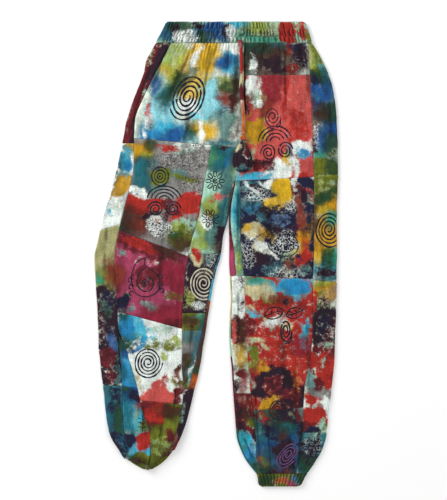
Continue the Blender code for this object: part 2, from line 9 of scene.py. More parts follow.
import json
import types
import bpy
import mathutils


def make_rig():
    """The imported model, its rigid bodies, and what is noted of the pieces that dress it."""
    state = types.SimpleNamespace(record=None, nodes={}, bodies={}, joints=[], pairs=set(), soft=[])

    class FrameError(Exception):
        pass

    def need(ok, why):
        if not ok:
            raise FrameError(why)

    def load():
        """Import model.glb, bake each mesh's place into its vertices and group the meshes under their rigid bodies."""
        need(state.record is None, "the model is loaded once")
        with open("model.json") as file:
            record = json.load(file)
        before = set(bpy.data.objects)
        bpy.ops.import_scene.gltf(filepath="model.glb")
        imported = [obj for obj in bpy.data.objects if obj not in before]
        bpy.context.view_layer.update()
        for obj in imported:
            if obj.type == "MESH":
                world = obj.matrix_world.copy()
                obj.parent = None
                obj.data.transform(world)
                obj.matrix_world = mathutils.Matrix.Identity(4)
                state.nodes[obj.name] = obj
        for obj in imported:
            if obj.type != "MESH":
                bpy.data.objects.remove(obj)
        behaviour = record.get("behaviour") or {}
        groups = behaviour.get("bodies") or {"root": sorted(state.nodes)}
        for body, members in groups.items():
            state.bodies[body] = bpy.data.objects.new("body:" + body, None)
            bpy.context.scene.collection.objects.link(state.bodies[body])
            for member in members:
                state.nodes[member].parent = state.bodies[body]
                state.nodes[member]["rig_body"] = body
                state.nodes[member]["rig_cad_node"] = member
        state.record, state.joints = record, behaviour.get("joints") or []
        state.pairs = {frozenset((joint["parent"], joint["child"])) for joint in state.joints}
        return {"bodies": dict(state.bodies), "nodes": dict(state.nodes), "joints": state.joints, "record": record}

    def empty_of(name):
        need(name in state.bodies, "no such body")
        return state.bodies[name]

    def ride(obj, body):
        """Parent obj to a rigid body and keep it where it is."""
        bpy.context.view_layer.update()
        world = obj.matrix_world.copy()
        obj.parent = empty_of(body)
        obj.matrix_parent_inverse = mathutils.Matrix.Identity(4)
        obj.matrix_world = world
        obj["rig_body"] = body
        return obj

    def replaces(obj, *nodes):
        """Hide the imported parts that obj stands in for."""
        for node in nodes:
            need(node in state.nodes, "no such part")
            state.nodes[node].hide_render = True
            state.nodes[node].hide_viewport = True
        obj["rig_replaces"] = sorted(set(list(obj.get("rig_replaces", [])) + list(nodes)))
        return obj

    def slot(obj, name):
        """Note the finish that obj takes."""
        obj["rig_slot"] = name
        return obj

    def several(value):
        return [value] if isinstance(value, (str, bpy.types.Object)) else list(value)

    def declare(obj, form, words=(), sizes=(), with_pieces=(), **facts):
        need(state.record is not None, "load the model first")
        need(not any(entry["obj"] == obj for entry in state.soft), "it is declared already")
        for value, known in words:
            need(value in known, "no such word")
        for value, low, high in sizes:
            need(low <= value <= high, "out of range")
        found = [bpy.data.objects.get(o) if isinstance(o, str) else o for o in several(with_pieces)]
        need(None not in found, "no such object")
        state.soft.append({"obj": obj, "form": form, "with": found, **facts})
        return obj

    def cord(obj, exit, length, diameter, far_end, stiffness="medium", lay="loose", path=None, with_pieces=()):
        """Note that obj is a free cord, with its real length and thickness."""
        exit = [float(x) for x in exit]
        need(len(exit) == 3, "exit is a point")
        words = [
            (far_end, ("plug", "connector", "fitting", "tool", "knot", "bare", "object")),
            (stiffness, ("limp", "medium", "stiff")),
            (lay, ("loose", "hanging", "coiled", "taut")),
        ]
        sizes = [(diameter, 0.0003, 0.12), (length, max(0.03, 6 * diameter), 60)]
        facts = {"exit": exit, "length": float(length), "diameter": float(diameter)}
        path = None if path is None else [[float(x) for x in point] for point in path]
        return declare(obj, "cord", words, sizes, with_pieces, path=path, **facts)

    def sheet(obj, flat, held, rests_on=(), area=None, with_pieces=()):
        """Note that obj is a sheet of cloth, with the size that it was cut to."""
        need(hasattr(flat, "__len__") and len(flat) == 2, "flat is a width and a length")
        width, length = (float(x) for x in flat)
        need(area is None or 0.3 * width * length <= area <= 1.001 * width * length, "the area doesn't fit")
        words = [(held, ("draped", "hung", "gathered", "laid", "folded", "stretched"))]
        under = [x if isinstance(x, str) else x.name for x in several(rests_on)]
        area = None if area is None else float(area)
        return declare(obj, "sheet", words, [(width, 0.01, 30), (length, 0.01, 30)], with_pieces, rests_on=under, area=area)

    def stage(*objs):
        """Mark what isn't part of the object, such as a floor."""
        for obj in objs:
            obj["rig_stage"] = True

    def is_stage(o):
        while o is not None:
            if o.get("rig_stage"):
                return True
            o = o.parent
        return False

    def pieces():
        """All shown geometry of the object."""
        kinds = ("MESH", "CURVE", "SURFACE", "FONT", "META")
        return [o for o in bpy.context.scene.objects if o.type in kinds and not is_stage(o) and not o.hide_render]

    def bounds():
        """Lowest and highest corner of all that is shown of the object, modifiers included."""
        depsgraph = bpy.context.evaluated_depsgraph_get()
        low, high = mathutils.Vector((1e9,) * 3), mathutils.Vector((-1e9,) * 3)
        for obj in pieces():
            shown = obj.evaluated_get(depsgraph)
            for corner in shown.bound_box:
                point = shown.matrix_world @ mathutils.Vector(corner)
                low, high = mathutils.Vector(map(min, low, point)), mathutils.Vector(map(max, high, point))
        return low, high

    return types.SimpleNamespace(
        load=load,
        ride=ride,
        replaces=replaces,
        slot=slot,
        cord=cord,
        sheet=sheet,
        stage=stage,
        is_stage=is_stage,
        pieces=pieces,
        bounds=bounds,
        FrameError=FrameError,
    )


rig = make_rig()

bl_info = {
    "name": "Patchwork Harem Pants",
    "version": (1, 0, 0),
    "blender": (4, 5, 0),
    "location": "View3D > Sidebar > Pants",
    "description": "Over-dyed patchwork harem pants with a drawstring, laid flat",
    "category": "Mesh",
}

import json
import math
from functools import lru_cache
from itertools import groupby

import bpy
import numpy as np
from mathutils import Vector
from mathutils.bvhtree import BVHTree

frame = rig.load()
CAD_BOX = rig.bounds()

MM = 0.001
LENGTH = 1000.0
FOLD_RADIUS = 2.6  # of the soft fold along each side of a leg
BAND_DEPTH = 46.0
LEG_END = 972.0
CROTCH_BLEND = (341.0, 353.0)  # drops between which the centre seams turn into the inseams
BACK_SIDE_SHARE = 0.22  # back part of a side panel, as a share of the leg's width
BACK_INNER_SHARE = 0.32
CROWN = 1.6  # how far the front stands up between the folds
CROWN_RAMP = 45.0
EDGE_RAMP = 12.0  # over which creases come up from a fold
CREASE_SCALE = 1.4  # of every crease and wrinkle at a crease strength of 1
TUCK_LIFT = 5.0  # how far the turned-under cuff lifts the right leg's end
TUCK_DROPS = (848.0, 884.0)
HEM_ROLL = 5.0  # depth of the rolled edge at the right leg's end
HEM_BASE = 3.4
FOLD_STEPS = 8
FAR_OUTSIDE = 20.0  # a dye's field stops this far outside its edge, and a missing field reads so
OVERLAP = 2.0  # how far a dye runs on under the edge of one painted after it
LANE_WIDTH = 240.0  # a leg's width, for the spacing of its wash creases
RIGHT_GATHER = 948.0  # drop at which the right leg is gathered in to its cuff
FAR = 99.0  # stands for a distance from a seam that is too far off to matter
BACK_WRINKLE = 0.7  # height of the low wrinkles under the back
BAND_ROWS = 44
BAND_COLUMNS = 300
BAND_RUN = 322.0  # the waistband's length, for the spacing of its puckers
TUCK_TOP = 4.9  # highest that the cuff turned under the leg comes
HEM_THIN = 0.12  # height left at a rolled edge, as a share
FRONT_LOWEST = 1.2  # of the front's outer face, over the surface that the pants lie on
GROOVE_REACH = 1.9  # half the width of the groove along a seam
FELL_START = (1.2, 2.6)  # distances from the seam over which its felled side comes up
FELL_END = 1.6  # over which it goes down again
HOLLOW_DEPTH = 1.5  # depth of a crease or groove that looks wholly shaded
SPLASH_INSET = 20  # how far inside a back patch's sides its splashes start
BLOT_POWER = 2.1  # 2 makes a blot an ellipse, and more squares it
PRINT_LOWEST = 3.5  # height of the cloth below which the printing block didn't touch it
PRINT_STEEPEST = 0.3  # upright part of the steepest normal that took ink
PRINT_STEP = 1.1
INK_RISE = 0.16
INK_SINK = 0.12
INK_BEVEL = 0.1
FEWEST_PRINTS = 8
EDGE_WANDER = 24.0  # how far a dye's edge strays, in the same millimetres as its field
EASED = {"interpolation_type": "SMOOTHSTEP"}
BLENDED = {"data_type": "RGBA"}
THREAD_PITCH = 0.0009  # metres from one thread of the weave to the next
CORD_STEP = 1.4
CORD_SIDES = 20
CORD_STRANDS = 5  # ridges round the twisted drawstring
KNOT_SIDES = 12
KNOT_CORD = (4.6, 4.2)  # width and thickness of the cord where it is drawn up in its knot
TASSEL_PLEATS = 11


def linear(hex_colour):
    """An sRGB hex colour as scene-linear red, green and blue."""
    parts = [int(hex_colour[i : i + 2], 16) / 255.0 for i in (1, 3, 5)]
    return [c / 12.92 if c <= 0.04045 else ((c + 0.055) / 1.055) ** 2.4 for c in parts]


def numbers_in(text):
    """The rows of numbers that a text lists."""
    return tuple(tuple(map(float, row.split())) for row in text.split(","))


def dye(name, hex_colour, description):
    """A colour property with this hex colour as its default."""
    return bpy.props.FloatVectorProperty(
        name=name, description=description, default=linear(hex_colour), subtype="COLOR",
        size=3, min=0.0, max=1.0,
    )


def length_of(name, millimetres, description):
    """A length property with its default in millimetres."""
    return bpy.props.FloatProperty(
        name=name, description=description, default=millimetres * MM, min=0.0, unit="LENGTH",
        precision=5,
    )


class PantsSizes(bpy.types.PropertyGroup):
    """Sizes of the cloth's finer shapes."""

    wall: length_of("Cloth thickness", 0.8, "Thickness of one layer of cotton")
    front_cell: length_of("Front mesh size", 2.1, "Size of the mesh's cells on the front")
    back_cell: length_of("Back mesh size", 4.2, "Size of the mesh's cells on the back")
    seam_groove: length_of("Seam groove", 1.0, "Depth of the groove along each seam")
    seam_width: length_of("Felled seam width", 6.0, "Width of the raised, felled side of a seam")
    seam_rise: length_of("Felled seam rise", 0.45, "How far the felled side of a seam stands up")
    pucker: length_of("Pucker spacing", 8.2, "Distance between the waistband's puckers")
    pucker_rise: length_of("Pucker height", 2.3, "Height of the waistband's puckers")
    stitch: length_of("Stitch length", 2.6, "Length of a stitch that shows")
    stitch_pitch: length_of("Stitch pitch", 3.4, "Distance from one stitch to the next")
    thread: length_of("Thread thickness", 0.5, "Thickness of the sewing thread")
    cord_width: length_of("Drawstring width", 9.4, "Width of the flat drawstring")
    cord_depth: length_of("Drawstring thickness", 7.4, "Thickness of the drawstring")
    creases: bpy.props.FloatProperty(
        name="Crease strength", default=1.0, min=0.0, max=2.0, subtype="FACTOR",
        description="Scale of the creases' heights and depths",
    )


class PantsDyes(bpy.types.PropertyGroup):
    """Colours of the cotton's ground and dyes, and of the block prints."""

    ground: dye("Ground", "#DCE6D8", "Undyed, washed cotton")
    white: dye("White", "#E6EEE8", "Cotton that a resist kept clean")
    ecru: dye("Ecru", "#CBC193", "Cotton with a weak yellow wash")
    khaki: dye("Khaki", "#A09D6A", "Grey-green wash")
    mint: dye("Mint", "#A2CFB8", "Pale green wash")
    ash: dye("Ash", "#8A8885", "Warm grey")
    slate: dye("Slate", "#4E7E7C", "Grey-green blue")
    sky: dye("Sky", "#86D8E8", "Pale turquoise")
    cyan: dye("Turquoise", "#30AFD0", "Bright turquoise")
    azure: dye("Azure", "#2286BC", "Clear blue")
    blue: dye("Blue", "#14508F", "Deep blue")
    teal: dye("Teal", "#176874", "Blue-green")
    navy: dye("Navy", "#191A36", "Near-black blue")
    yellow: dye("Yellow", "#DDB01E", "Golden yellow")
    mustard: dye("Mustard", "#BE8E12", "Brown-yellow")
    orange: dye("Orange", "#C05A1A", "Burnt orange")
    lime: dye("Lime", "#9CAC42", "Yellow-green")
    olive: dye("Olive", "#68701A", "Dark yellow-green")
    forest: dye("Forest", "#1E472A", "Dark green")
    jade: dye("Jade", "#2B957A", "Clear green")
    coral: dye("Coral", "#C4504A", "Pink-red")
    red: dye("Red", "#AA281F", "Brick red")
    crimson: dye("Crimson", "#8A1C30", "Blue-red")
    magenta: dye("Magenta", "#A23E5E", "Pink-purple")
    wine: dye("Wine", "#64181E", "Dark red")
    brick: dye("Brick", "#7C2E1E", "Brown-red")
    umber: dye("Umber", "#45281C", "Dark brown")
    plum: dye("Plum", "#291524", "Near-black purple")
    ink: dye("Print ink", "#161A28", "Blue-black pigment of most prints")
    pale_ink: dye("Pale print", "#C9C7B0", "Discharge print, the cloth's own ground")
    violet_ink: dye("Violet print", "#6A4A78", "Purple pigment")
    thread: dye("Thread", "#3A4A3E", "Grey-green sewing thread")


# The dyes in the order in which one covers another, and how each one's edge looks.
SOFT = 9.5  # half the width in millimetres over which a wash fades out
CRISP = 3.2
DYE_ORDER = (
    ("ecru", SOFT), ("khaki", SOFT), ("mint", SOFT), ("sky", SOFT), ("ash", CRISP),
    ("yellow", SOFT), ("mustard", SOFT), ("orange", SOFT), ("lime", SOFT), ("cyan", SOFT),
    ("azure", SOFT), ("jade", SOFT), ("slate", SOFT), ("olive", CRISP), ("blue", SOFT),
    ("teal", SOFT), ("forest", SOFT), ("coral", CRISP), ("magenta", CRISP), ("red", CRISP),
    ("crimson", SOFT), ("brick", SOFT), ("wine", CRISP), ("umber", SOFT), ("navy", CRISP),
    ("plum", CRISP), ("white", CRISP),
)
# Soot is a dark speckle over the dyes, and crackle a net of pale veins.
FIELD_NAMES = [name for name, edge in DYE_ORDER] + ["soot", "crackle"]

# Sections down the laid pants: X of each leg's outer and inner fold, X of the front's seams between
# columns of patches, and how far inside its inner fold each inseam runs.
SECTION_NAMES = (
    "drop", "right_outer", "right_side", "right_wedge", "right_seam", "right_inseam", "right_inner",
    "left_inner", "left_inseam", "left_seam", "left_side", "left_outer",
)
SECTIONS = numbers_in("""
    46 -130 -97.2 -97.2 -9 0 60.8 60.8 0 61 197.4 206.5,
    80 -148.6 -114.7 -114.7 -9 0 60.4 60.4 0 61 199.7 227,
    115 -158 -132.5 -132.5 -9 0 60 60 0 61 201.7 242.5,
    160 -175 -154.4 -154.4 -9 0 59.7 59.7 0 61 203.3 254.5,
    210 -191.8 -174.6 -174.6 -9 0 59.2 59.2 0 61 205.6 259.7,
    255 -201 -176.7 -176.7 -9 0 58 58 0 61 208 261,
    298 -210 -176.7 -176.7 -15.8 0 53.3 53.3 0 57 209 262,
    341 -221 -182 -182 -24.5 0 41 41 0 52.2 210.3 262,
    353 -223.5 -184.7 -184.7 -26.5 3.2 37 37.3 3.2 52.2 210.3 261.5,
    380 -231 -192.4 -192.4 -31 3.2 31.5 31.8 3.2 52.2 210.3 260.3,
    416 -242.3 -201.6 -201.6 -37 3.2 27.6 28.2 3.2 52.2 210.3 259.7,
    460 -252 -211 -211 -50 3.5 15.7 27.5 6 52.2 210.3 259.7,
    505 -261.8 -218 -218 -60.5 4 9 27.5 12 55 209.8 259.7,
    545 -260.6 -217.2 -217.2 -66 4.5 -2.6 29.7 14 59.5 208.6 259.7,
    549 -260.5 -217 -217 -66.4 4.5 -3.6 29.9 3.4 60 208.5 259.6,
    600 -257.8 -213.3 -213.3 -71 5 -12.7 31.5 3.4 61.5 208.1 258.6,
    660 -254 -210.6 -210.6 -73.5 7 -22 28 3.4 64.5 207.3 256.7,
    690 -253.7 -208.8 -198.5 -73.5 9.5 -27 28.2 3.4 66 206.3 255.4,
    740 -249.4 -204.7 -183 -73.5 12 -34.8 32.5 3.4 69 198.5 253.3,
    790 -243 -202.4 -168.5 -70.8 13 -46.4 36 3.4 73 190 248.5,
    846 -237.4 -200.4 -156 -76 8 -59.8 40 3.4 81 186.6 241.7,
    890 -227.5 -197 -142 -88.5 4.5 -74 43.2 3.4 84.5 184.5 237,
    920 -210 -193 -140 -99.5 3.4 -88.6 52 3.4 85.5 179.5 228.5,
    945 -195 -186 -143.5 -112 3.4 -106 65.1 3.4 88 176 214.6,
    972 -180 -176 -147 -130 3.4 -126 85.6 3.2 98 172 196.4
""")

# The columns of patches. A flat column has its -X and its +X edge, a wrapped one its front seam and
# its back seam. Its patches are numbered on from "first", down to a seam or to a rolled hem, and
# "seams" has the drops of each cross seam at both of its ends.
COLUMN_NAMES = ("kind", "half", "edge_a", "edge_b", "patches", "first", "low_end", "seams")
COLUMNS = (
    ("round outer fold", "right", "side", "back_side", "right_side", 1, "hem",
     "46 46, 262 262, 436 448, 784 782, 934 940"),
    ("front", "right", "side", "inseam", "right_front", 1, "seam", "46 46, 251 272"),
    ("front", "right", "wedge", "seam", "right_front", 2, "hem",
     "251 266, 449 505, 624 661, 815 824, 966 932"),
    ("front", "right", "side", "wedge", "right_wedge", 1, "hem", "664 690, 784 788, 942 966"),
    ("front", "right", "seam", "inseam", "right_inner", 1, "hem",
     "266 272, 499 499, 627 627, 664 664, 800 792, 932 918"),
    ("front", "left", "inseam", "side", "left_front", 1, "seam", "46 46, 116 115, 343 334"),
    ("front", "left", "seam", "side", "left_front", 3, "seam",
     "342.6 334, 547 554, 836 830, 972 972"),
    ("front", "left", "inseam", "seam", "left_inner", 1, "seam",
     "343.3 342.6, 547 547, 800 800, 972 972"),
    ("round outer fold", "left", "side", "back_side", "left_side", 1, "seam",
     "46 46, 329 329, 556 560, 884 884, 972 972"),
    ("back", "right", "back_side", "back_inner", "right_back", 1, "seam",
     "46 46, 330 322, 640 640, 950 930"),
    ("back", "right", "back_inner", "inner", "right_back_inner", 1, "seam", "46 46, 356 356"),
    ("round inner fold", "right", "inseam", "back_inner", "right_back_inner", 2, "seam",
     "356 356, 600 600, 918 922"),
    ("back", "left", "back_inner", "back_side", "left_back", 1, "seam",
     "46 46, 300 310, 610 600, 972 972"),
    ("back", "left", "inner", "back_inner", "left_back_inner", 1, "seam", "46 46, 356 356"),
    ("round inner fold", "left", "inseam", "back_inner", "left_back_inner", 2, "seam",
     "356 356, 547 547, 972 972"),
)

# Folds and creases of the front: a soft ridge, or a trough where the height is below zero, from
# one end to the other. "bow" is how far the middle swings towards -X.
CREASE_NAMES = ("x_top", "drop_top", "x_low", "drop_low", "bow", "reach", "height")
FOLDS = """
    -62 50 -84 235 0 26 2.2, 12 50 -14 220 0 26 1.8, 110 50 96 235 0 28 1.8, 168 55 178 330 0 28 2,
    38 350 -92 640 0 36 2.2, 50 360 92 640 0 32 1.8, -190 330 -226 640 0 26 1.8,
    228 300 222 700 0 26 1.6, -170 700 -180 900 0 28 2, -118 690 -126 900 0 30 1.6,
    96 740 116 950 0 28 2.2, 172 720 160 950 0 28 2
"""
CREASES = """
    -40 46 -102 168 5 9 -1.9, -50 46 -66 118 0 8 1.3, 3 46 -26 150 4 8 -1.5, -28 46 -50 104 0 7 1.1,
    -10 46 -20 96 0 6 -0.9, -98 46 -138 150 3 7 -1.2, -112 60 -176 232 6 9 1.1,
    -132 70 -190 262 4 6 -1.3, 28 46 20 128 0 8 -1, 46 46 45 205 3 8 -1.1, 61 46 59.5 215 0 5 -2.2,
    72 46 79 160 0 9 1.3, -140 190 -150 330 0 12 -0.8, -60 165 -92 330 -8 13 -0.9,
    -10 170 -40 330 0 12 0.9, 22 300 -20 470 5 8 -1.1, 31 345 6 480 3 5 -1.2,
    -52 330 -62 520 0 9 0.9, -100 380 -120 600 8 13 -1, -170 380 -190 560 0 12 1,
    -235 420 -246 620 0 9 -0.9, -212 560 -206 700 0 7 -1, -80 560 -84 700 0 9 -0.9,
    -160 600 -150 760 5 15 0.9, -50 640 -66 800 0 6 -1.2, -236 660 -226 800 0 8 0.9,
    -215 700 -205 860 0 8 -1.1, -185 790 -190 900 0 8 1.1, -160 815 -150 900 0 6 -1.1,
    -86 786 -90 832 0 4 -1.5, -110 850 -120 930 4 8 -1, -140 870 -143 945 0 6 1,
    -88 900 -126 952 7 4 -1.7, -170 943 -146 952 0 4 -1.4, -70 830 -84 900 0 6 -1.2,
    -206 880 -188 930 0 6 -1.1, 150 46 152 205 3 5 -1.4, 196 46 204 170 4 7 -1.6,
    190 50 197 120 0 6 1.2, 177 46 190 122 0 5 -1.2, 214 60 236 160 4 7 -1.1, 104 46 92 112 0 8 -1,
    120 46 124 120 0 7 1, 136 46 140 100 0 5 -1, 205 130 214 270 2 8 1.1, 240 120 250 260 0 8 -0.9,
    100 150 84 320 -6 13 -0.9, 160 200 170 330 0 15 0.8, 66 350 60 520 3 8 1,
    48 350 46 500 0 5 -1.4, 110 380 118 520 0 13 -0.9, 175 350 182 540 -5 11 1,
    238 330 240 480 0 9 0.9, 226 440 232 600 0 11 -0.9, 48 560 46 720 0 6 -1.2,
    100 590 92 740 0 15 0.9, 150 600 150 780 6 16 -0.8, 195 640 200 790 0 9 -0.9,
    170 740 172 850 0 7 -1.2, 60 740 66 880 0 7 1.1, 84 790 92 930 0 5 -1.5,
    110 860 118 970 0 6 -1.2, 140 880 140 970 0 7 1.1, 160 880 156 972 0 5 -1.3,
    188 850 176 970 0 6 -1.3, 205 880 186 965 0 5 1, 222 890 190 960 0 5 -1, 56 890 92 965 0 5 -1.2,
    50 905 84 962 0 4 0.9
"""

# The waistband: its outline, and the height of its front face over each sewn channel.
BAND_NAMES = ("drop", "right_end", "left_end", "top")
BAND = (
    (0.0, -105.0, 187.0, 6.4),
    (3.0, -109.0, 192.0, 7.4),
    (9.0, -111.5, 194.6, 8.4),
    (16.0, -115.0, 197.5, 7.0),
    (24.0, -119.0, 200.0, 8.4),
    (33.0, -124.0, 202.8, 7.0),
    (40.0, -128.0, 205.0, 8.4),
    (46.0, -130.0, 206.5, 7.4),
)
BAND_RADIUS = 3.5
BAND_SEAMS = (16.0, 33.0, 46.0)  # drops of the stitched lines

# The left leg's cuff, a flattened, gathered ring, and the right leg's, turned under the leg.
CUFF_NAMES = ("drop", "inner_end", "outer_end", "height")
CUFF = (
    (972.3, 85.8, 196.2, 6.4),
    (980.0, 89.5, 190.5, 7.4),
    (988.0, 90.5, 187.0, 7.2),
    (995.0, 91.5, 184.0, 6.6),
    (1000.0, 97.0, 174.0, 5.6),
)
TUCK = (
    (888.0, -104.0, -208.0, 3.0),
    (899.0, -94.0, -212.0, 4.3),
    (918.0, -92.0, -206.0, 4.3),
    (938.0, -104.0, -195.0, 4.3),
    (952.0, -120.0, -177.0, 4.2),
    (963.0, -137.0, -157.0, 3.2),
)

# The drawstring's centreline, as X and drop from the slit in the casing down to its knot, and the
# tassel.
CORD = (
    (51.2, 41.0),
    (52.2, 60.0),
    (53.6, 83.0),
    (55.4, 117.0),
    (53.6, 141.0),
    (55.6, 173.0),
    (59.4, 212.0),
    (57.8, 243.0),
)
KNOT_CENTRE = (57.6, 250.2)
KNOT_SIZE = (13.0, 12.0, 9.0)
TASSEL_NAMES = ("drop", "x", "half_width", "height")
TASSEL = (
    (256.9, 57.6, 4.0, 6.0),
    (262.0, 57.4, 8.0, 9.0),
    (274.0, 56.6, 13.5, 11.0),
    (288.0, 56.0, 18.0, 12.0),
    (302.0, 56.6, 20.5, 12.0),
    (312.0, 57.0, 19.0, 10.5),
    (320.0, 57.0, 12.0, 8.0),
    (324.0, 57.0, 5.0, 5.0),
)

